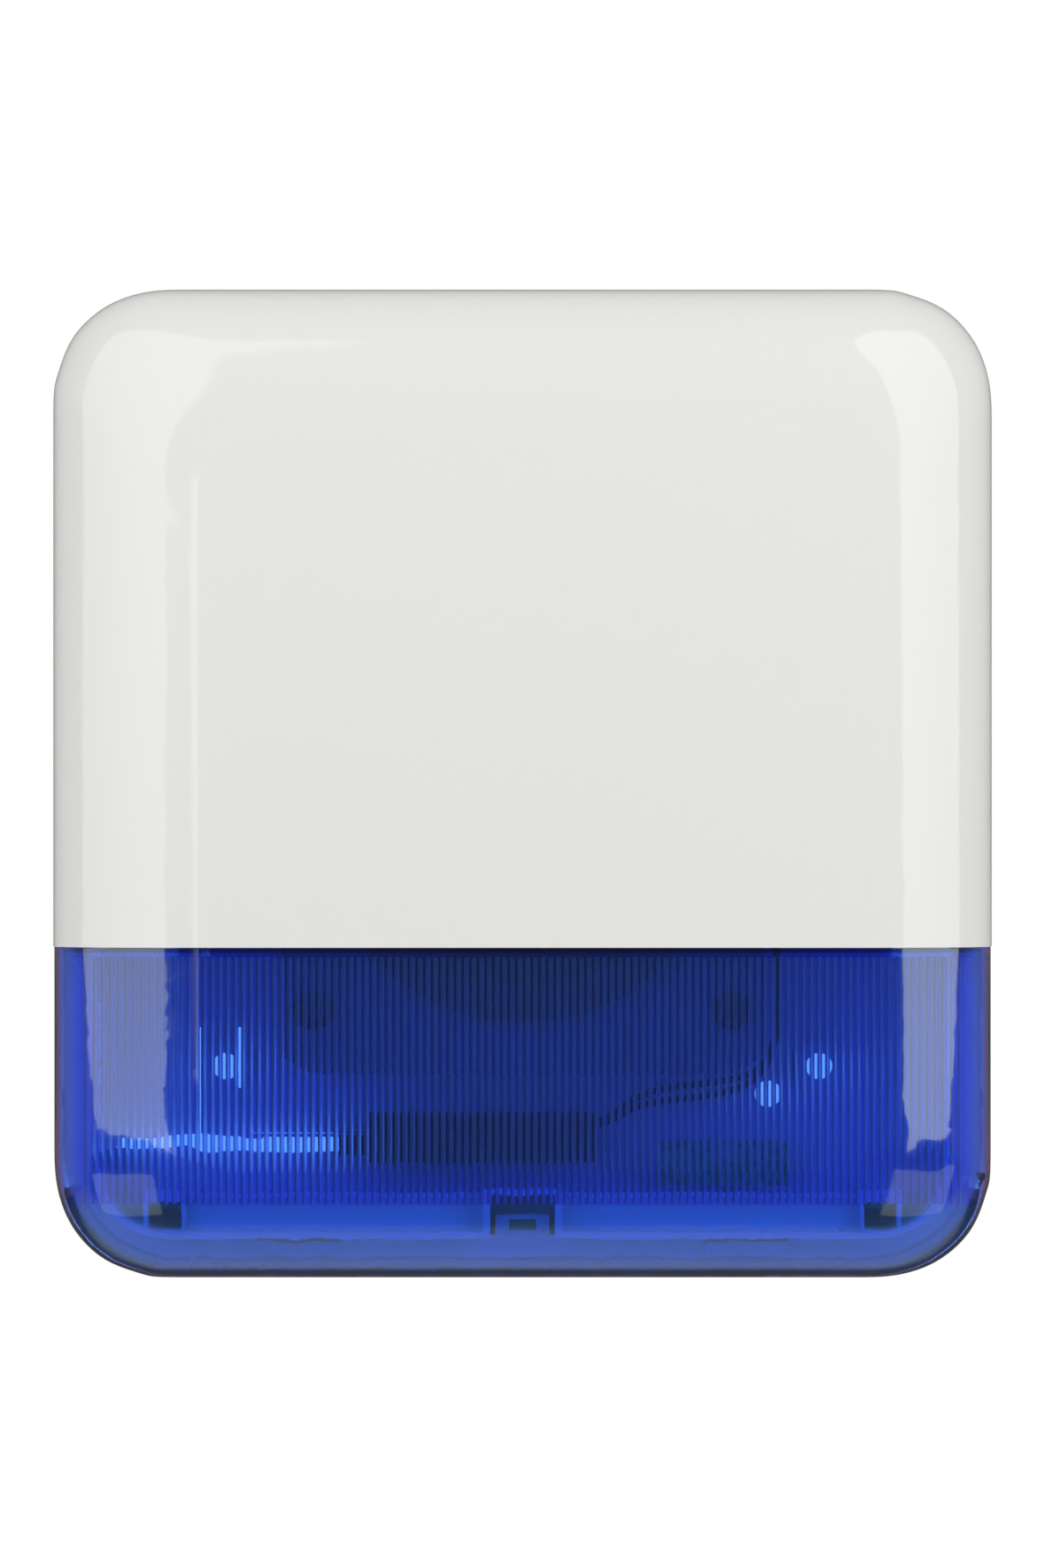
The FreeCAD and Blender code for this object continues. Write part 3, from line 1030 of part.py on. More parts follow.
# ---- Nodes ------------------------------------------------------------------------------------
NODES = {
    "front_cover": front_cover,
    "lens": lens,
    "lens_screws": lens_screws,
    "rear_base": rear_base,
    "hinge_pins": hinge_pins,
    "lock_screw": lock_screw,
    "lock_nut": lock_nut,
    "cable_grommet": cable_grommet,
    "sounder_housing": sounder_housing,
    "sounder_horn": sounder_horn,
    "sounder_driver": sounder_driver,
    "sounder_diaphragm": sounder_diaphragm,
    "sounder_screws": sounder_screws,
    "battery_cells": battery_cells,
    "battery_contacts": battery_contacts,
    "backup_cell": backup_cell,
    "backup_cradle": backup_cradle,
    "backup_lead_left": lambda: backup_lead(0.0),
    "backup_lead_right": lambda: backup_lead(LEAD_PITCH),
    "lead_plug": lead_plug,
    "main_board": main_board,
    "board_screws": board_screws,
    "board_parts": board_parts,
    "terminal_block": terminal_block,
    "strobe_board": strobe_board,
    "strobe_lamps": strobe_lamps,
    "antenna": antenna,
    "cover_tamper_switch": cover_tamper_switch,
    "cover_tamper_plunger": cover_tamper_plunger,
    "wall_tamper_switch": wall_tamper_switch,
    "wall_tamper_plunger": wall_tamper_plunger,
    "power_switch_body": power_switch_body,
    "power_switch_knob": power_switch_knob,
    "enrol_button_body": enrol_button_body,
    "enrol_button_cap": enrol_button_cap,
}


def main():
    """Build every node and write it to parts/."""
    os.makedirs("parts", exist_ok=True)
    for name, build in NODES.items():
        shape = build()
        shape.exportStep("parts/" + name + ".step")
        print(name, "solids", len(shape.Solids), "volume", round(shape.Volume, 1), "valid", shape.isValid())


main()
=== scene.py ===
"""Dresses the wall alarm siren: finishes, the backup cell's leads, studio light and camera.

Metres, +Z up.  The wall is the plane y = 0, the siren's front faces -Y, and +X is to the right.
"""
import json
import logging
import math
from dataclasses import dataclass
from enum import Enum
from typing import Dict, Iterable, List, Optional, Tuple

import bpy
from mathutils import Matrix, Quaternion, Vector


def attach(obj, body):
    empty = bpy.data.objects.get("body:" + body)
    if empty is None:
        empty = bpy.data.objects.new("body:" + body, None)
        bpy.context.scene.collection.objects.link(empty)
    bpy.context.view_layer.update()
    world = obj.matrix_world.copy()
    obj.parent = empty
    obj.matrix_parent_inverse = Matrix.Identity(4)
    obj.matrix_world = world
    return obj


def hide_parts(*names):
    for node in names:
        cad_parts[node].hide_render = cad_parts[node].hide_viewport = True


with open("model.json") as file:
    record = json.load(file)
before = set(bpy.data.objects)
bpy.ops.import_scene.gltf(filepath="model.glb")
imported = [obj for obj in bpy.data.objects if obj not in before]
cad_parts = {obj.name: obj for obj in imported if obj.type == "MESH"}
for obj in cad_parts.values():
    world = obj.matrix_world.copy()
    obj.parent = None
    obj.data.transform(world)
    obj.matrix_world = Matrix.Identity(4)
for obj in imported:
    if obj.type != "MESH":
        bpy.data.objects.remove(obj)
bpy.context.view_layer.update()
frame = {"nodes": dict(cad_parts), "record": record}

LOG = logging.getLogger("siren")
Colour = Tuple[float, float, float]
Pair = Tuple[float, float]
MM = 0.001


class Body(Enum):
    """The frame's bodies that the scene's own pieces ride on."""

    BASE = "base"


class MixSocket(Enum):
    """Places of a colour Mix node's sockets, which share their names with those of its other types."""

    SHARE = 0
    FIRST = 6
    SECOND = 7
    RESULT = 2


# ---- Shared node groups -------------------------------------------------------------------
class Tree:
    """A node tree with short calls to add nodes and join them."""

    def __init__(self, tree: bpy.types.NodeTree) -> None:
        """Wrap a tree.

        Args:
            tree: The material's or group's node tree.
        """
        self.tree = tree

    def add(self, kind: str, values: Optional[Dict[str, object]] = None, **settings: object) -> bpy.types.Node:
        """Add a node.

        Args:
            kind: The node's type, without the leading "ShaderNode".
            values: Values for its inputs, by name or index.
            **settings: Properties of the node itself.

        Returns:
            The new node.
        """
        node = self.tree.nodes.new(kind if kind.startswith("Node") else "ShaderNode" + kind)
        for name, value in settings.items():
            setattr(node, name, value)
        for name, value in (values or {}).items():
            node.inputs[name].default_value = value
        return node

    def join(self, source: bpy.types.NodeSocket, target: bpy.types.NodeSocket) -> None:
        """Link an output to an input."""
        self.tree.links.new(source, target)

    def math(self, operation: str, first: object, second: object = 0.0, third: float = 0.0,
             clamp: bool = False) -> bpy.types.NodeSocket:
        """Add a Math node.

        Args:
            operation: The node's operation.
            first: A socket or a number.
            second: A socket or a number.
            third: A number, such as the lower end that WRAP takes.
            clamp: Whether the result stays within 0 and 1.

        Returns:
            The node's output.
        """
        node = self.add("Math", operation=operation, use_clamp=clamp)
        for socket, value in zip(node.inputs, (first, second, third)):
            if isinstance(value, bpy.types.NodeSocket):
                self.join(value, socket)
            else:
                socket.default_value = value
        return node.outputs[0]

    def remap(self, source: bpy.types.NodeSocket, span: Pair, to: Pair, smooth: bool = False) -> bpy.types.NodeSocket:
        """Map a value from one span to another, clamped at its ends.

        Args:
            source: The value.
            span: Its lowest and highest value.
            to: What those become.
            smooth: Whether the way between is eased.

        Returns:
            The mapped value.
        """
        node = self.add("MapRange", {"From Min": span[0], "From Max": span[1], "To Min": to[0], "To Max": to[1]},
                        interpolation_type="SMOOTHSTEP" if smooth else "LINEAR")
        self.join(source, node.inputs["Value"])
        return node.outputs["Result"]

    def mix(self, share: object, first: object, second: object) -> bpy.types.NodeSocket:
        """Mix two colours.

        Args:
            share: A socket or a number.
            first: A socket or a colour.
            second: A socket or a colour.

        Returns:
            The mixed colour.
        """
        node = self.add("Mix", data_type="RGBA")
        for place, value in ((MixSocket.SHARE, share), (MixSocket.FIRST, first), (MixSocket.SECOND, second)):
            socket = node.inputs[place.value]
            if isinstance(value, bpy.types.NodeSocket):
                self.join(value, socket)
            elif place is MixSocket.SHARE:
                socket.default_value = value
            else:
                socket.default_value = (*value, 1.0)
        return node.outputs[MixSocket.RESULT.value]

    def place(self, scale: Iterable[float] = (1, 1, 1)) -> bpy.types.NodeSocket:
        """Object coordinates through a Mapping node.

        Args:
            scale: Scale along each axis.

        Returns:
            The mapped coordinates.
        """
        source = self.add("TexCoord")
        mapping = self.add("Mapping", {"Scale": tuple(scale)})
        self.join(source.outputs["Object"], mapping.inputs["Vector"])
        return mapping.outputs["Vector"]

    def parts(self) -> bpy.types.Node:
        """Separate the Object coordinates into X, Y and Z.

        Returns:
            The node, whose outputs are the three.
        """
        node = self.add("SeparateXYZ")
        self.join(self.place(), node.inputs[0])
        return node

    def blend(self, share: bpy.types.NodeSocket, first: bpy.types.Node, second: bpy.types.Node) -> bpy.types.Node:
        """Mix two shaders.

        Args:
            share: How much of the second shows.
            first: A shader's node.
            second: A shader's node.

        Returns:
            The Mix Shader node.
        """
        node = self.add("MixShader")
        for socket, source in zip(node.inputs, (share, first.outputs[0], second.outputs[0])):
            self.join(source, socket)
        return node


class Group:
    """Base of the shared effects: a node group with named inputs and outputs.

    Attributes:
        name: The group's name.
        inputs: Kind and first value of each input.
        outputs: Kind of each output.
        made: Every group's tree that was built, by name.
    """

    name: str = ""
    inputs: Dict[str, Tuple[str, object]] = {}
    outputs: Dict[str, str] = {}
    made: Dict[str, bpy.types.NodeTree] = {}

    @classmethod
    def tree(cls) -> bpy.types.NodeTree:
        """Find the group's tree, which is built the first time it is asked for.

        Returns:
            The tree.
        """
        if cls.name not in Group.made:
            tree = bpy.data.node_groups.new(cls.name, "ShaderNodeTree")
            for name, (kind, value) in cls.inputs.items():
                socket = tree.interface.new_socket(name=name, in_out="INPUT", socket_type="NodeSocket" + kind)
                socket.default_value = value
            for name, kind in cls.outputs.items():
                tree.interface.new_socket(name=name, in_out="OUTPUT", socket_type="NodeSocket" + kind)
            wrap = Tree(tree)
            cls.build(wrap, wrap.add("NodeGroupInput").outputs, wrap.add("NodeGroupOutput").inputs)
            Group.made[cls.name] = tree
        return Group.made[cls.name]

    @classmethod
    def build(cls, tree: Tree, given: bpy.types.NodeOutputs, result: bpy.types.NodeInputs) -> None:
        """Fill the group in.

        Args:
            tree: The group's tree.
            given: The group's inputs.
            result: The group's outputs.
        """
        raise NotImplementedError

    @classmethod
    def use(cls, tree: Tree, **values: object) -> bpy.types.Node:
        """Place the group in a material.

        Args:
            tree: The material's tree.
            **values: The group's own values, with _ for a space.

        Returns:
            The group node.
        """
        node = tree.add("Group")
        node.node_tree = cls.tree()
        for name, value in values.items():
            node.inputs[name.replace("_", " ")].default_value = value
        return node


class MouldedSkin(Group):
    """Fine spark texture of moulded plastic, with a slow drift of colour and sheen.

    Attributes:
        drift_scale: Scale of the slow drift, in cycles a metre.
        darker: Value and saturation of the darker places.
        bump_height: Height of the texture at full strength, in metres.
    """

    drift_scale = 9.0
    darker: Pair = (0.86, 1.06)
    bump_height = 0.02 * MM
    name = "moulded_skin"
    inputs = {
        "Colour": ("Color", (0.8, 0.8, 0.8, 1.0)),
        "Drift": ("Float", 0.03),
        "Roughness": ("Float", 0.4),
        "Spread": ("Float", 0.05),
        "Grain Size": ("Float", 900.0),
        "Grain": ("Float", 0.1),
    }
    outputs = {"Colour": "Color", "Roughness": "Float", "Normal": "Vector"}

    @classmethod
    def build(cls, tree: Tree, given: bpy.types.NodeOutputs, result: bpy.types.NodeInputs) -> None:
        """Drift the colour and sheen, and raise the texture.

        Args:
            tree: The group's tree.
            given: The group's inputs.
            result: The group's outputs.
        """
        place = tree.place()
        slow = tree.add("TexNoise", {"Scale": cls.drift_scale, "Detail": 2.0})
        fine = tree.add("TexNoise", {"Detail": 3.0, "Roughness": 0.6})
        tree.join(place, slow.inputs["Vector"])
        tree.join(place, fine.inputs["Vector"])
        tree.join(given["Grain Size"], fine.inputs["Scale"])
        dark = tree.add("HueSaturation", {"Value": cls.darker[0], "Saturation": cls.darker[1]})
        tree.join(given["Colour"], dark.inputs["Color"])
        share = tree.math("MULTIPLY", slow.outputs["Fac"], given["Drift"])
        tree.join(tree.mix(share, given["Colour"], dark.outputs["Color"]), result["Colour"])
        swing = tree.math("MULTIPLY", tree.math("SUBTRACT", slow.outputs["Fac"], 0.5), given["Spread"])
        tree.join(tree.math("ADD", given["Roughness"], swing, clamp=True), result["Roughness"])
        bump = tree.add("Bump", {"Distance": cls.bump_height})
        tree.join(given["Grain"], bump.inputs["Strength"])
        tree.join(fine.outputs["Fac"], bump.inputs["Height"])
        tree.join(bump.outputs["Normal"], result["Normal"])


class DrawnMetal(Group):
    """Fine drawn or turned lines in metal, with a little tarnish.

    Attributes:
        line_scale: Scale of the lines along each axis, in cycles a metre.
        line_swing: How far the lines dull the metal.
        stain_scale: Scale of the tarnish, in cycles a metre.
        stain_reach: Where in its noise the tarnish starts and where it is full.
        duller: Value and saturation of tarnished metal.
        bump_height: Height of the lines at full strength, in metres.
    """

    line_scale = (90.0, 5200.0, 5200.0)
    line_swing = 0.16
    stain_scale = 260.0
    stain_reach: Pair = (0.45, 0.7)
    duller: Pair = (0.6, 1.2)
    bump_height = 0.02 * MM
    name = "drawn_metal"
    inputs = {
        "Colour": ("Color", (0.6, 0.6, 0.6, 1.0)),
        "Roughness": ("Float", 0.3),
        "Lines": ("Float", 0.2),
        "Tarnish": ("Float", 0.2),
    }
    outputs = {"Colour": "Color", "Roughness": "Float", "Normal": "Vector"}

    @classmethod
    def build(cls, tree: Tree, given: bpy.types.NodeOutputs, result: bpy.types.NodeInputs) -> None:
        """Tarnish the colour, and raise the lines.

        Args:
            tree: The group's tree.
            given: The group's inputs.
            result: The group's outputs.
        """
        lines = tree.add("TexNoise", {"Scale": 1.0, "Detail": 2.0})
        tree.join(tree.place(cls.line_scale), lines.inputs["Vector"])
        stain = tree.add("TexNoise", {"Scale": cls.stain_scale, "Detail": 4.0})
        tree.join(tree.place(), stain.inputs["Vector"])
        dull = tree.add("HueSaturation", {"Value": cls.duller[0], "Saturation": cls.duller[1]})
        tree.join(given["Colour"], dull.inputs["Color"])
        share = tree.math("MULTIPLY", tree.remap(stain.outputs["Fac"], cls.stain_reach, (0, 1)), given["Tarnish"])
        tree.join(tree.mix(share, given["Colour"], dull.outputs["Color"]), result["Colour"])
        swing = tree.math("MULTIPLY", lines.outputs["Fac"], cls.line_swing)
        tree.join(tree.math("ADD", given["Roughness"], swing, clamp=True), result["Roughness"])
        bump = tree.add("Bump", {"Distance": cls.bump_height})
        tree.join(given["Lines"], bump.inputs["Strength"])
        tree.join(lines.outputs["Fac"], bump.inputs["Height"])
        tree.join(bump.outputs["Normal"], result["Normal"])


# ---- Finishes -----------------------------------------------------------------------------
@dataclass(frozen=True)
class Finish:
    """A moulded plastic, rubber or lacquer.

    Attributes:
        name: Slot of the record that it stands for.
        colour: Linear base colour.
        roughness: Middle roughness.
        grain: Strength of the fine spark texture.
        grain_size: Scale of that texture, in cycles a metre.
        drift: How far the colour drifts over the surface.
        spread: How far the roughness drifts.
        specular: Specular level.
        coat: Weight of a clear coat.
        coat_roughness: Roughness of that coat.
        ior: Index of refraction.
    """

    name: str
    colour: Colour
    roughness: float = 0.45
    grain: float = 0.25
    grain_size: float = 1400.0
    drift: float = 0.3
    spread: float = 0.08
    specular: float = 0.5
    coat: float = 0.0
    coat_roughness: float = 0.08
    ior: float = 1.5

    def make(self) -> bpy.types.Material:
        """Build the material.

        Returns:
            The new material.
        """
        material = bpy.data.materials.new(self.name)
        material.use_nodes = True
        material.node_tree.nodes.clear()
        tree = Tree(material.node_tree)
        shader = tree.add("BsdfPrincipled", {"IOR": self.ior, "Specular IOR Level": self.specular,
                                             "Coat Weight": self.coat,
                                             "Coat Roughness": self.coat_roughness})
        self.dress(tree, shader)
        tree.join(self.outcome(tree, shader), tree.add("OutputMaterial").inputs["Surface"])
        material.diffuse_color = (*self.colour, 1.0)
        return material

    def dress(self, tree: Tree, shader: bpy.types.Node) -> None:
        """Feed the shader its colour, roughness and normal.

        Args:
            tree: The material's tree.
            shader: Its Principled node.
        """
        skin = MouldedSkin.use(tree, Colour=(*self.colour, 1.0), Drift=self.drift, Roughness=self.roughness,
                               Spread=self.spread, Grain_Size=self.grain_size, Grain=self.grain)
        tree.join(skin.outputs["Colour"], shader.inputs["Base Color"])
        tree.join(skin.outputs["Roughness"], shader.inputs["Roughness"])
        tree.join(skin.outputs["Normal"], shader.inputs["Normal"])

    def outcome(self, tree: Tree, shader: bpy.types.Node) -> bpy.types.NodeSocket:
        """The shader that goes to the output.

        Args:
            tree: The material's tree.
            shader: Its Principled node.

        Returns:
            The shader's socket.
        """
        return shader.outputs[0]


@dataclass(frozen=True)
class Metal(Finish):
    """Drawn, pressed or turned metal.

    Attributes:
        lines: Strength of its fine lines.
        tarnish: How far it is stained.
    """

    lines: float = 0.25
    tarnish: float = 0.25

    def dress(self, tree: Tree, shader: bpy.types.Node) -> None:
        """Feed the shader lined and tarnished metal.

        Args:
            tree: The material's tree.
            shader: Its Principled node.
        """
        shader.inputs["Metallic"].default_value = 1.0
        skin = DrawnMetal.use(tree, Colour=(*self.colour, 1.0), Roughness=self.roughness, Lines=self.lines,
                              Tarnish=self.tarnish)
        tree.join(skin.outputs["Colour"], shader.inputs["Base Color"])
        tree.join(skin.outputs["Roughness"], shader.inputs["Roughness"])
        tree.join(skin.outputs["Normal"], shader.inputs["Normal"])


@dataclass(frozen=True)
class ClearPlastic(Finish):
    """Clear or tinted polished plastic that lets the lamps through to what is behind it.

    Attributes:
        clarity: Transmission weight; the rest is body colour.
        shade: What one of its faces lets through of a lamp's light.
    """

    clarity: float = 0.95
    shade: Colour = (0.9, 0.9, 0.9)

    def outcome(self, tree: Tree, shader: bpy.types.Node) -> bpy.types.NodeSocket:
        """Let the lamps' light straight through, tinted.

        Args:
            tree: The material's tree.
            shader: Its Principled node.

        Returns:
            The shader's socket.
        """
        shader.inputs["Transmission Weight"].default_value = self.clarity
        path = tree.add("LightPath")
        inward = tree.math("MAXIMUM", path.outputs["Is Shadow Ray"], path.outputs["Is Diffuse Ray"])
        clear = tree.add("BsdfTransparent", {"Color": (*self.shade, 1.0)})
        return tree.blend(inward, shader, clear).outputs[0]


@dataclass(frozen=True)
class FlutedLens(ClearPlastic):
    """Tinted polycarbonate that darkens at its outline, with painted shade along the foot of each flute inside it and
    along its upper lip under the cover's edge.

    Attributes:
        rim: Colour towards the outline, where the wall is looked along; it is also the colour of the painted shade
            along the upper lip under the cover's edge.
        thin: Colour of the plain wall, which is thinner than the fluted part.
        deep: Colour where the wall curves away and is looked through at a slant.
        brown: Colour of the border along the outline and of the side walls, which lie beyond it.
        pitch: Spacing of the flutes, in metres.
        foot: Where in each pitch the painted shade at a flute's foot lies.
        foot_half: Half the width of that painted shade, as a share of the pitch: where it fades in and out.
        depth: How far the painted shade darkens the foot.
        foot_share: Brightness of the painted shade's colour at the foot, beside the lens's colour.
        ridge: Middle of the ridge, as a share of the pitch, and half its width.
        ridge_fade: How far inside and outside that width it fades, as a share of the pitch.
        blur: Roughness of the ridge, which smears what is behind it.
        span: Half the width of the fluted part, in metres.
        slant: From how steep to how steep a slant the colour deepens; 0 is straight on, 1 is along the face.
        grazing: The same for the colour of the outline.
        wall: From where to where, out from the middle, the side wall darkens, in metres.
        wall_depth: How far it darkens.
        half: Half the siren's width and height, in metres.
        corner: How far each soft corner runs along a side, in metres.
        corner_power: Power of the soft corner's curve; 2 is a plain arc.
        border: From where to where, out from a corner's middle, the dark border comes in, in metres.
        mirror_tint: Tint of what its faces mirror.
        lip: From where to where the painted shade under the cover's edge comes in along the upper lip, in metres.
        lip_depth: How far that painted shade darkens.
        flat: Where the flat middle ends and the roll starts, out from the middle, in metres.
        low: Height of the flutes' lower end, in metres.
        high: Height of their upper end, in metres.
        low_fade: How far below the flutes the plain wall's colour is full, in metres.
    """

    rim: Colour = (0.01, 0.012, 0.07)
    thin: Colour = (0.07, 0.36, 0.86)
    deep: Colour = (0.03, 0.10, 0.50)
    brown: Colour = (0.30, 0.045, 0.06)
    pitch: float = 1.55 * MM
    foot: float = 0.46
    foot_half: Pair = (0.08, 0.22)
    depth: float = 0.74
    foot_share: float = 0.08
    ridge: Pair = (0.70, 0.29)
    ridge_fade: Pair = (0.02, 0.05)
    blur: float = 0.4
    span: float = 88.0 * MM
    slant: Pair = (0.35, 0.75)
    grazing: Pair = (0.78, 0.93)
    wall: Pair = (89.5 * MM, 95.5 * MM)
    wall_depth: float = 0.85
    half: Pair = (96.5 * MM, 101.6 * MM)
    corner: float = 26.0 * MM
    corner_power: float = 2.32
    border: Pair = (24.0 * MM, 24.6 * MM)
    mirror_tint: Colour = (0.8, 1.0, 0.6)
    # Band of painted shade just under the cover's edge.
    lip: Pair = (-34.3 * MM, -33.8 * MM)
    lip_depth: float = 0.55
    flat: Pair = (69.0 * MM, 71.5 * MM)
    low: float = -84.6 * MM
    high: float = -34.9 * MM
    low_fade: float = 0.4 * MM

    def dress(self, tree: Tree, shader: bpy.types.Node) -> None:
        """Tint the wall, darken its outline, paint shade along its flutes' feet and its upper lip, and smear what lies
        behind their ridges.

        Args:
            tree: The material's tree.
            shader: Its Principled node.
        """
        super().dress(tree, shader)
        plain = shader.inputs["Base Color"].links[0].from_socket
        parts = tree.parts()
        rear = tree.add("NewGeometry").outputs["Backfacing"]
        facing = tree.add("LayerWeight", {"Blend": 0.5}).outputs["Facing"]
        foot, ridge = self.flutes(tree, parts, rear)
        above = tree.remap(parts.outputs["Z"], (self.low - self.low_fade, self.low), (0, 1))
        # Painted shade along each flute's foot: a darker copy of the lens colour laid over the foot mask.
        dark = tuple(self.foot_share * part for part in self.colour)
        fluted = tree.mix(foot, tree.mix(above, self.thin, plain), dark)
        deepened = tree.mix(tree.remap(facing, self.slant, (0, 1)), fluted, self.deep)
        # Outline colour over faces looked along and the side walls, with painted shade along the upper lip.
        edge = self.edge(tree, parts, facing)
        border = self.outline(tree, parts)
        tree.join(tree.mix(border, tree.mix(edge, deepened, self.rim), self.brown), shader.inputs["Base Color"])
        tree.join(tree.remap(ridge, (0, 1), (self.roughness, self.blur)), shader.inputs["Roughness"])
        tree.join(tree.remap(border, (0, 1), (self.coat, 0)), shader.inputs["Coat Weight"])
        shader.inputs["Specular Tint"].default_value = (*self.mirror_tint, 1.0)
        self.flatten(tree, shader, parts, rear)

    def flutes(self, tree: Tree, parts: bpy.types.Node,
               rear: bpy.types.NodeSocket) -> Tuple[bpy.types.NodeSocket, bpy.types.NodeSocket]:
        """Masks of the flutes, which are on the wall's inner face alone.

        Args:
            tree: The material's tree.
            parts: Separated Object coordinates.
            rear: Whether the face is seen from inside the wall.

        Returns:
            The masks of the painted shade at their feet and of their ridges.
        """
        turns = tree.math("DIVIDE", parts.outputs["X"], self.pitch)
        from_foot = tree.math("PINGPONG", tree.math("SUBTRACT", turns, self.foot), 0.5)
        from_ridge = tree.math("PINGPONG", tree.math("SUBTRACT", turns, self.ridge[0]), 0.5)
        # Mask of the painted shade at each flute's foot, on the inner fluted face.
        foot = tree.remap(from_foot, self.foot_half, (self.depth, 0.0), smooth=True)
        fade = (self.ridge[1] - self.ridge_fade[0], self.ridge[1] + self.ridge_fade[1])
        ridge = tree.remap(from_ridge, fade, (1, 0), smooth=True)
        height = tree.math("MULTIPLY", tree.math("GREATER_THAN", parts.outputs["Z"], self.low),
                           tree.math("LESS_THAN", parts.outputs["Z"], self.high))
        side = tree.math("LESS_THAN", tree.math("ABSOLUTE", parts.outputs["X"]), self.span)
        inside = tree.math("MULTIPLY", tree.math("MULTIPLY", height, side), rear)
        return tree.math("MULTIPLY", foot, inside), tree.math("MULTIPLY", ridge, inside)

    def edge(self, tree: Tree, parts: bpy.types.Node, facing: bpy.types.NodeSocket) -> bpy.types.NodeSocket:
        """Mask of what the outline's colour covers: faces looked along, the side walls, and the painted shade along
        the upper lip under the cover's edge.

        Args:
            tree: The material's tree.
            parts: Separated Object coordinates.
            facing: How far a face is looked along.

        Returns:
            The mask's socket.
        """
        along = tree.remap(facing, self.grazing, (0, 1))
        wall = tree.remap(tree.math("ABSOLUTE", parts.outputs["X"]), self.wall, (0, self.wall_depth), smooth=True)
        # Painted shade along the upper lip, just under the cover's edge.
        lip = tree.remap(parts.outputs["Z"], self.lip, (0, self.lip_depth), smooth=True)
        return tree.math("MAXIMUM", tree.math("MAXIMUM", along, wall), lip)

    def outline(self, tree: Tree, parts: bpy.types.Node) -> bpy.types.NodeSocket:
        """Mask of the narrow border along the siren's outline.

        Args:
            tree: The material's tree.
            parts: Separated Object coordinates.

        Returns:
            The mask's socket.
        """
        powers = []
        for axis, half in (("X", self.half[0]), ("Z", self.half[1])):
            past = tree.math("SUBTRACT", tree.math("ABSOLUTE", parts.outputs[axis]), half - self.corner)
            powers.append(tree.math("POWER", tree.math("MAXIMUM", past, 0.0), self.corner_power))
        reach = tree.math("POWER", tree.math("ADD", *powers), 1.0 / self.corner_power)
        return tree.remap(reach, self.border, (0, 1), smooth=True)

    def flatten(self, tree: Tree, shader: bpy.types.Node, parts: bpy.types.Node,
                rear: bpy.types.NodeSocket) -> None:
        """Keep the outer face's flat middle optically flat out to where the sides roll away.

        Args:
            tree: The material's tree.
            shader: Its Principled node.
            parts: Separated Object coordinates.
            rear: Whether the face is seen from inside the wall.
        """
        slope = tree.add("SeparateXYZ")
        tree.join(tree.add("TexCoord").outputs["Normal"], slope.inputs[0])
        rolled = tree.remap(tree.math("ABSOLUTE", parts.outputs["X"]), self.flat, (0, 1), smooth=True)
        kept = tree.math("MAXIMUM", rolled, rear)
        joined = tree.add("CombineXYZ")
        tree.join(tree.math("MULTIPLY", slope.outputs["X"], kept), joined.inputs["X"])
        tree.join(slope.outputs["Y"], joined.inputs["Y"])
        tree.join(slope.outputs["Z"], joined.inputs["Z"])
        turned = tree.add("VectorTransform", vector_type="NORMAL", convert_from="OBJECT", convert_to="WORLD")
        tree.join(joined.outputs[0], turned.inputs[0])
        tree.join(turned.outputs[0], shader.inputs["Normal"])


@dataclass(frozen=True)
class SolderMask(Finish):
    """Green circuit board: copper runs and pads showing through the mask.

    Attributes:
        runs: Colour of the mask over copper.
        pitch: Spacing of the runs, in metres.
        cells: Scale and randomness of the cells that the runs go round.
        ring: Spacing of the runs within a cell, as a share of it.
        ring_edge: Where in a ring the copper starts and where it is full.
        weave_depth: How far the glass weave darkens the mask, and how dark it is there.
        weave_reach: From where to where in its noise the weave dulls the mask.
        weave_swing: How far it lowers and raises the roughness.
        bump_height: Height of the copper at full strength, in metres.
    """

    runs: Colour = (0.05, 0.33, 0.13)
    pitch: float = 2.2 * MM
    cells: Pair = (0.42, 0.85)
    ring: float = 0.32
    ring_edge: Pair = (0.13, 0.17)
    weave_depth: Pair = (0.5, 0.6)
    weave_reach: Pair = (0.3, 0.7)
    weave_swing: Pair = (0.05, 0.08)
    bump_height: float = 0.04 * MM

    def dress(self, tree: Tree, shader: bpy.types.Node) -> None:
        """Lay copper runs under the mask and weave glass through it.

        Args:
            tree: The material's tree.
            shader: Its Principled node.
        """
        place = tree.place((1.0 / self.pitch,) * 3)
        cells = tree.add("TexVoronoi", {"Scale": self.cells[0], "Randomness": self.cells[1]},
                         distance="MANHATTAN", feature="F1", voronoi_dimensions="3D")
        tree.join(place, cells.inputs["Vector"])
        rings = tree.math("PINGPONG", cells.outputs["Distance"], self.ring)
        copper = tree.remap(rings, self.ring_edge, (0, 1))
        grains = tree.add("TexNoise", {"Scale": 2.6, "Detail": 2.0})
        tree.join(place, grains.inputs["Vector"])
        darker = tuple(self.weave_depth[1] * part for part in self.colour)
        weave = tree.mix(tree.math("MULTIPLY", grains.outputs["Fac"], self.weave_depth[0]), self.colour, darker)
        tree.join(tree.mix(copper, weave, self.runs), shader.inputs["Base Color"])
        sheen = (self.roughness - self.weave_swing[0], self.roughness + self.weave_swing[1])
        tree.join(tree.remap(grains.outputs["Fac"], self.weave_reach, sheen), shader.inputs["Roughness"])
        bump = tree.add("Bump", {"Strength": 0.6, "Distance": self.bump_height})
        tree.join(copper, bump.inputs["Height"])
        tree.join(bump.outputs["Normal"], shader.inputs["Normal"])


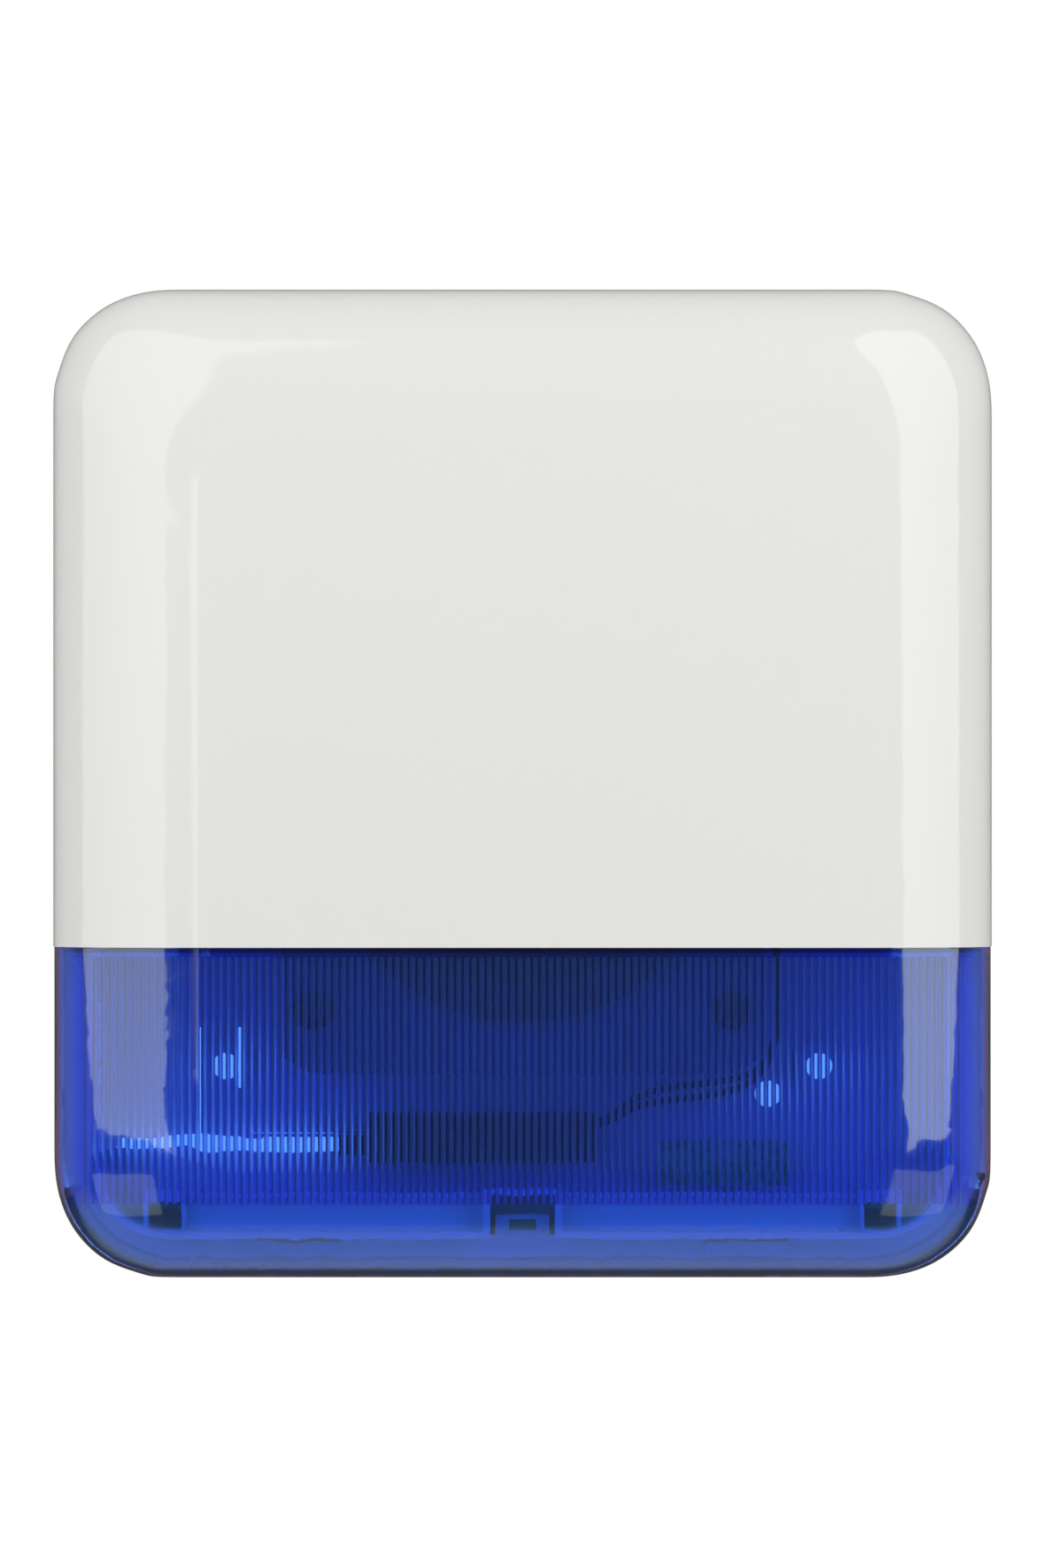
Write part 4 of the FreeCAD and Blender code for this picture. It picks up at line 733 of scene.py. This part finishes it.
@dataclass(frozen=True)
class ShrinkSleeve(Finish):
    """Printed shrink sleeve of a round cell: a wide middle and a pale band at each end.

    Attributes:
        band: Colour of the bands.
        low: Height of the lowest cell's foot, in metres.
        length: Length of one cell, in metres.
        edge: Width of the band at the upper end, in metres.
        foot_share: Width of the band at the foot, as a share of that.
        wrinkle_scale: Scale of the sleeve's wrinkles, in cycles a metre.
        wrinkle_stretch: How far they are drawn out along each axis.
        wrinkle_reach: From where to where in their noise they dull the sleeve.
        wrinkle_swing: How far they lower and raise the roughness.
        bump_height: Height of the wrinkles at full strength, in metres.
    """

    band: Colour = (0.6, 0.6, 0.58)
    low: float = -26.0 * MM
    length: float = 50.0 * MM
    edge: float = 8.5 * MM
    foot_share: float = 0.4
    wrinkle_scale: float = 180.0
    wrinkle_stretch: Tuple[float, float, float] = (1, 1, 0.4)
    wrinkle_reach: Pair = (0.3, 0.7)
    wrinkle_swing: Pair = (0.06, 0.1)
    bump_height: float = 0.2 * MM

    def dress(self, tree: Tree, shader: bpy.types.Node) -> None:
        """Print the bands and wrinkle the sleeve.

        Args:
            tree: The material's tree.
            shader: Its Principled node.
        """
        along = tree.math("SUBTRACT", tree.parts().outputs["Z"], self.low)
        share = tree.math("WRAP", along, self.length)
        head = tree.math("GREATER_THAN", share, self.length - self.edge)
        foot = tree.math("LESS_THAN", share, self.foot_share * self.edge)
        tree.join(tree.mix(tree.math("MAXIMUM", head, foot), self.colour, self.band), shader.inputs["Base Color"])
        wrinkle = tree.add("TexNoise", {"Scale": self.wrinkle_scale, "Detail": 3.0})
        tree.join(tree.place(self.wrinkle_stretch), wrinkle.inputs["Vector"])
        sheen = (self.roughness - self.wrinkle_swing[0], self.roughness + self.wrinkle_swing[1])
        tree.join(tree.remap(wrinkle.outputs["Fac"], self.wrinkle_reach, sheen), shader.inputs["Roughness"])
        bump = tree.add("Bump", {"Strength": 0.25, "Distance": self.bump_height})
        tree.join(wrinkle.outputs["Fac"], bump.inputs["Height"])
        tree.join(bump.outputs["Normal"], shader.inputs["Normal"])


FINISHES: Tuple[Finish, ...] = (
    Finish("white_cover", (0.80, 0.795, 0.775), roughness=0.06, grain=0.02, drift=0.1, spread=0.02, specular=0.42),
    FlutedLens("blue_lens", (0.07, 0.235, 1.0), roughness=0.02, grain=0.0, drift=0.05, spread=0.02,
               ior=1.58, coat=1.0, clarity=0.97, shade=(0.50, 0.49, 0.99)),
    Finish("white_base", (0.79, 0.79, 0.77), roughness=0.42, grain=0.3, drift=0.2),
    Metal("screw_steel", (0.62, 0.62, 0.61), roughness=0.28),
    Metal("nut_brass", (0.70, 0.53, 0.25), roughness=0.3),
    Finish("black_rubber", (0.02, 0.02, 0.02), roughness=0.7, grain=0.5),
    Finish("black_housing", (0.13, 0.13, 0.145), roughness=0.42, grain=0.5, grain_size=1100.0),
    Finish("black_horn", (0.018, 0.018, 0.02), roughness=0.36, grain=0.4),
    Metal("driver_steel", (0.5, 0.5, 0.51), roughness=0.35),
    Metal("diaphragm_brass", (0.75, 0.58, 0.28), roughness=0.25),
    ShrinkSleeve("cell_wrap", (0.03, 0.10, 0.05), roughness=0.3),
    Metal("contact_steel", (0.7, 0.69, 0.66), roughness=0.22),
    Finish("dark_sleeve", (0.012, 0.012, 0.016), roughness=0.3, grain=0.3, grain_size=500.0),
    Finish("dark_cradle", (0.05, 0.05, 0.06), roughness=0.45),
    Finish("lead_sheath", (0.012, 0.012, 0.014), roughness=0.4),
    Finish("white_plug", (0.76, 0.75, 0.70), roughness=0.4),
    SolderMask("board_green", (0.02, 0.36, 0.11), roughness=0.25, runs=(0.06, 0.56, 0.20)),
    Finish("chip_black", (0.025, 0.025, 0.027), roughness=0.5, grain=0.6),
    Finish("terminal_green", (0.03, 0.30, 0.10), roughness=0.4),
    ClearPlastic("lamp_clear", (0.93, 0.94, 0.90), roughness=0.03, grain=0.0, clarity=0.7,
                 shade=(0.93, 0.94, 0.90)),
    Metal("aerial_steel", (0.6, 0.6, 0.6), roughness=0.3),
    Finish("switch_black", (0.02, 0.02, 0.022), roughness=0.4),
    Finish("plunger_white", (0.8, 0.8, 0.78), roughness=0.3),
    Metal("switch_steel", (0.64, 0.64, 0.63), roughness=0.3),
)


class Paint:
    """Every finish, built once and found by its slot's name."""

    def __init__(self) -> None:
        """Build the materials."""
        self.by_slot: Dict[str, bpy.types.Material] = {finish.name: finish.make() for finish in FINISHES}

    def nodes(self, record: dict) -> None:
        """Give each CAD node the finish of its slot.

        Args:
            record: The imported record.
        """
        for part in record["subparts"]:
            piece = frame["nodes"][part["node"]]
            piece.data.materials.clear()
            piece.data.materials.append(self.by_slot[part["material_slot"]])
            LOG.info("%s takes %s", part["node"], part["material_slot"])


# ---- Studio -------------------------------------------------------------------------------
@dataclass(frozen=True)
class Softbox:
    """A large soft lamp.

    Attributes:
        name: Its name.
        turn: Direction to its middle, in degrees from straight ahead, positive to the right.
        distance: How far off it stands, in metres.
        width: Its width, in metres.
        low: Height of its lower edge, in metres.
        high: Height of its upper edge, in metres.
        radiance: How bright its face is.
        roll: How far it leans in its own plane, in degrees, its inner side lower.
        power: Power that one square metre takes for each unit of radiance.
    """

    name: str
    turn: float
    distance: float
    width: float
    low: float
    high: float
    radiance: float
    roll: float = 0.0
    power: float = 4.0

    def make(self) -> None:
        """Place the lamp."""
        light = bpy.data.lights.new(self.name, "AREA")
        light.shape = "RECTANGLE"
        light.size = self.width
        light.size_y = self.high - self.low
        light.energy = self.power * self.radiance * light.size * light.size_y
        lamp = bpy.data.objects.new(self.name, light)
        bpy.context.scene.collection.objects.link(lamp)
        turn = math.radians(self.turn)
        lamp.location = (self.distance * math.sin(turn), -self.distance * math.cos(turn), (self.low + self.high) / 2)
        facing = Vector((-math.sin(turn), math.cos(turn), 0))
        lamp.rotation_mode = "QUATERNION"
        lean = Quaternion((0, 0, 1), math.radians(math.copysign(self.roll, self.turn)))
        lamp.rotation_quaternion = facing.to_track_quat("-Z", "Y") @ lean
        lamp.visible_camera = False
        LOG.info("softbox %s", self.name)


@dataclass
class Studio:
    """Pale surroundings, the softboxes and the camera.

    Attributes:
        lens: Focal length, in millimetres.
        sensor: Height of the camera's sensor, in millimetres.
        frame_height: Height of the view at the siren, in metres.
        plane: Depth of the plane that the view is sized at, in metres.
        floor: Height of the floor, in metres.
        floor_size: Length of its sides, in metres.
        floor_tones: The two pale tones that its grain mixes.
        floor_roughness: Its roughness.
        floor_glow: How far it looks plain white to the camera.
        floor_dark: Its colour where it is darkened in what glossy faces mirror.
        ahead: How bright the room is towards the camera.
        behind: How bright it is behind the siren.
        through: How bright that is through clear plastic.
        mirrored_ahead: How bright glossy faces mirror the room in front.
        mirrored_behind: How bright they mirror what is behind.
        mirrored_side: How much brighter they mirror what is far to the side.
        turn: From where in front to where behind the room turns pale, as a share of a full look back.
        side: From where to where out to the side it turns brighter in what they mirror.
        floor_loss: How far the floor is darkened in what they mirror.
        floor_shift: How far in front of the wall the middle of its bright part lies, in metres.
        floor_reach: Where the floor starts to darken and where it is darkest, from there, in metres.
        boxes: The soft lamps.
    """

    lens: float = 250.0
    sensor: float = 36.0
    frame_height: float = 0.3207
    plane: float = 0.015
    floor: float = -0.5
    floor_size: float = 2.4
    floor_tones: Tuple[Colour, Colour] = ((0.62, 0.62, 0.615), (0.60, 0.60, 0.595))
    floor_roughness: float = 0.8
    floor_glow: float = 0.85
    floor_dark: Colour = (0.02, 0.02, 0.02)
    ahead: float = 0.03
    behind: float = 0.95
    through: float = 1.9
    mirrored_ahead: float = 0.05
    mirrored_behind: float = 0.1
    mirrored_side: float = 0.2
    turn: Pair = (-0.25, 0.35)
    side: Pair = (0.78, 0.97)
    floor_loss: float = 0.85
    floor_shift: float = 0.08
    floor_reach: Pair = (0.20, 0.42)
    boxes: Tuple[Softbox, ...] = (
        Softbox("softbox_left", -39.0, 0.9, 1.15, -0.136, 1.28, 1.35, roll=8.0),
        Softbox("softbox_right", 40.0, 0.9, 0.80, -0.145, 1.28, 1.80, roll=12.0),
        Softbox("low_fill_left", -42.0, 0.62, 0.46, -0.49, -0.235, 0.55),
        Softbox("low_fill_right", 42.0, 0.62, 0.46, -0.49, -0.22, 0.55),
    )

    def build(self) -> None:
        """Make the room, the floor and the lamps."""
        self.world()
        self.ground()
        for box in self.boxes:
            box.make()
        bpy.context.scene.view_settings.view_transform = "Standard"

    def view(self) -> None:
        """Place the camera straight in front."""
        data = bpy.data.cameras.new("view")
        data.lens = self.lens
        data.sensor_width = self.sensor
        camera = bpy.data.objects.new("view", data)
        bpy.context.scene.collection.objects.link(camera)
        distance = self.frame_height * self.lens / data.sensor_width
        camera.location = (0, -self.plane - distance, 0)
        camera.rotation_euler = (math.radians(90), 0, 0)
        bpy.context.scene.camera = camera
        LOG.info("camera %.3f m in front", distance)

    def world(self) -> None:
        """Dark room towards the camera, pale behind the siren, and plain white to the eye."""
        world = bpy.data.worlds.new("room")
        world.use_nodes = True
        bpy.context.scene.world = world
        world.node_tree.nodes.clear()
        tree = Tree(world.node_tree)
        parts = tree.add("SeparateXYZ")
        tree.join(tree.add("TexCoord").outputs["Generated"], parts.inputs[0])
        path = tree.add("LightPath")
        passed = path.outputs["Is Transmission Ray"]
        mirrored = tree.math("SUBTRACT", path.outputs["Is Glossy Ray"], passed, clamp=True)
        ahead = tree.remap(mirrored, (0, 1), (self.ahead, self.mirrored_ahead))
        behind = tree.remap(mirrored, (0, 1), (self.behind, self.mirrored_behind))
        behind = tree.math("ADD", behind, tree.remap(passed, (0, 1), (0, self.through - self.behind)))
        share = tree.remap(parts.outputs["Y"], self.turn, (0, 1), smooth=True)
        room = tree.math("ADD", ahead, tree.math("MULTIPLY", share, tree.math("SUBTRACT", behind, ahead)))
        across = tree.remap(tree.math("ABSOLUTE", parts.outputs["X"]), self.side, (0, self.mirrored_side), smooth=True)
        room = tree.math("ADD", room, tree.math("MULTIPLY", mirrored, across))
        strength = tree.math("MAXIMUM", room, path.outputs["Is Camera Ray"])
        sky = tree.add("Background", {"Color": (1, 1, 1, 1)})
        tree.join(strength, sky.inputs["Strength"])
        tree.join(sky.outputs[0], tree.add("OutputWorld").inputs["Surface"])

    def ground(self) -> None:
        """Make the pale floor."""
        bpy.ops.object.select_all(action="DESELECT")
        bpy.ops.mesh.primitive_plane_add(size=self.floor_size, location=(0, 0, self.floor))
        floor = bpy.context.active_object
        floor.name = "floor"
        floor.data.materials.append(self.floor_finish())

    def floor_finish(self) -> bpy.types.Material:
        """Build the floor's material, which looks white and still takes a shadow.

        It is darker away from the siren in what glossy faces mirror, and see-through from below.

        Returns:
            The material.
        """
        material = bpy.data.materials.new("pale_floor")
        material.use_nodes = True
        material.node_tree.nodes.clear()
        tree = Tree(material.node_tree)
        grain = tree.add("TexNoise", {"Scale": 30.0, "Detail": 3.0})
        tree.join(tree.place(), grain.inputs["Vector"])
        matt = tree.add("BsdfPrincipled", {"Roughness": self.floor_roughness})
        tree.join(tree.mix(grain.outputs["Fac"], *self.floor_tones), matt.inputs["Base Color"])
        path = tree.add("LightPath")
        share = tree.math("MULTIPLY", path.outputs["Is Camera Ray"], self.floor_glow)
        lit = tree.blend(share, matt, tree.add("Emission", {"Strength": 1.0}))
        away = tree.math("ABSOLUTE", tree.math("ADD", tree.parts().outputs["Y"], self.floor_shift))
        loss = tree.remap(away, self.floor_reach, (0, self.floor_loss), smooth=True)
        dark = tree.add("BsdfDiffuse", {"Color": (*self.floor_dark, 1.0)})
        mirrored = tree.blend(tree.math("MULTIPLY", path.outputs["Is Glossy Ray"], loss), lit, dark)
        rear = tree.add("NewGeometry").outputs["Backfacing"]
        seen = tree.blend(rear, mirrored, tree.add("BsdfTransparent"))
        tree.join(seen.outputs[0], tree.add("OutputMaterial").inputs["Surface"])
        return material


# ---- Leads --------------------------------------------------------------------------------
@dataclass
class BackupLeads:
    """The backup cell's two leads, clipped up the right side of the tray to the control board.

    Attributes:
        diameter: Diameter of one lead, in metres.
        lengths: Lengths of the rear and the front lead, in metres.
        pitch: How far the second lies in front of the first, in metres.
        route: Places along the first one: right, forward and up, in millimetres.
        bow: How far the front one bows up at each place of its open span, in millimetres.
        order: Order of the curve through the places.
        steps: Steps of the curve between two places.
        roundness: Steps of a quarter of a lead's round section.
    """

    diameter: float = 1.5 * MM
    lengths: Pair = (190.9 * MM, 190.0 * MM)
    pitch: float = 1.7 * MM
    route: Tuple[Tuple[float, float, float], ...] = (
        (-3.37, 12.75, -70.125), (6.0, 13.15, -69.925), (16.11, 13.55, -70.225), (23.49, 13.75, -65.525),
        (31.97, 13.85, -64.425), (40.46, 13.75, -63.525), (48.21, 13.35, -60.725), (52.3, 12.75, -52.625),
        (51.9, 12.65, -34.56), (51.95, 12.75, -8.81), (51.9, 13.05, 19.39), (51.9, 13.65, 36.5),
        (49.43, 14.0, 47.3), (41.39, 14.6, 51.7), (31.8, 14.6, 52.5), (21.01, 14.6, 52.5),
    )
    bow: Tuple[float, ...] = (0.0, 0.0, 0.6, 2.0, 2.8, 2.6, 1.6, 0.4)
    order: int = 3
    steps: int = 12
    roundness: int = 3

    def build(self, finish: bpy.types.Material) -> None:
        """Make both leads.

        Args:
            finish: Their material.
        """
        places = [Vector((x, -depth, z)) * MM for x, depth, z in self.route]
        self.lead("lead_rear", "backup_lead_left", places, finish)
        for place in places:
            place.y -= self.pitch
        for place, rise in zip(places, self.bow):
            place.z += rise * MM
        self.lead("lead_front", "backup_lead_right", places, finish)

    def lead(self, name: str, node: str, places: List[Vector],
             finish: bpy.types.Material) -> None:
        """Make one lead.

        Args:
            name: Its name.
            node: The CAD node that it stands for.
            places: Places along it.
            finish: Its material.
        """
        curve = bpy.data.curves.new(name, "CURVE")
        curve.dimensions = "3D"
        curve.resolution_u = self.steps
        curve.bevel_depth = self.diameter / 2
        curve.bevel_resolution = self.roundness
        curve.use_fill_caps = True
        spline = curve.splines.new("NURBS")
        spline.points.add(len(places) - 1)
        for point, place in zip(spline.points, places):
            point.co = (*place, 1.0)
        spline.order_u = self.order
        spline.use_endpoint_u = True
        curve.materials.append(finish)
        piece = bpy.data.objects.new(name, curve)
        bpy.context.scene.collection.objects.link(piece)
        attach(piece, Body.BASE.value)
        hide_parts(node)
        LOG.info("lead %s", name)


# ---- Putting it together ------------------------------------------------------------------
def main() -> None:
    """Build the scene in order."""
    logging.basicConfig(level=logging.INFO, format="%(name)s: %(message)s")
    paint = Paint()
    studio = Studio()
    studio.view()
    BackupLeads().build(paint.by_slot["lead_sheath"])
    studio.build()
    paint.nodes(frame["record"])


if __name__ == "__main__":
    main()
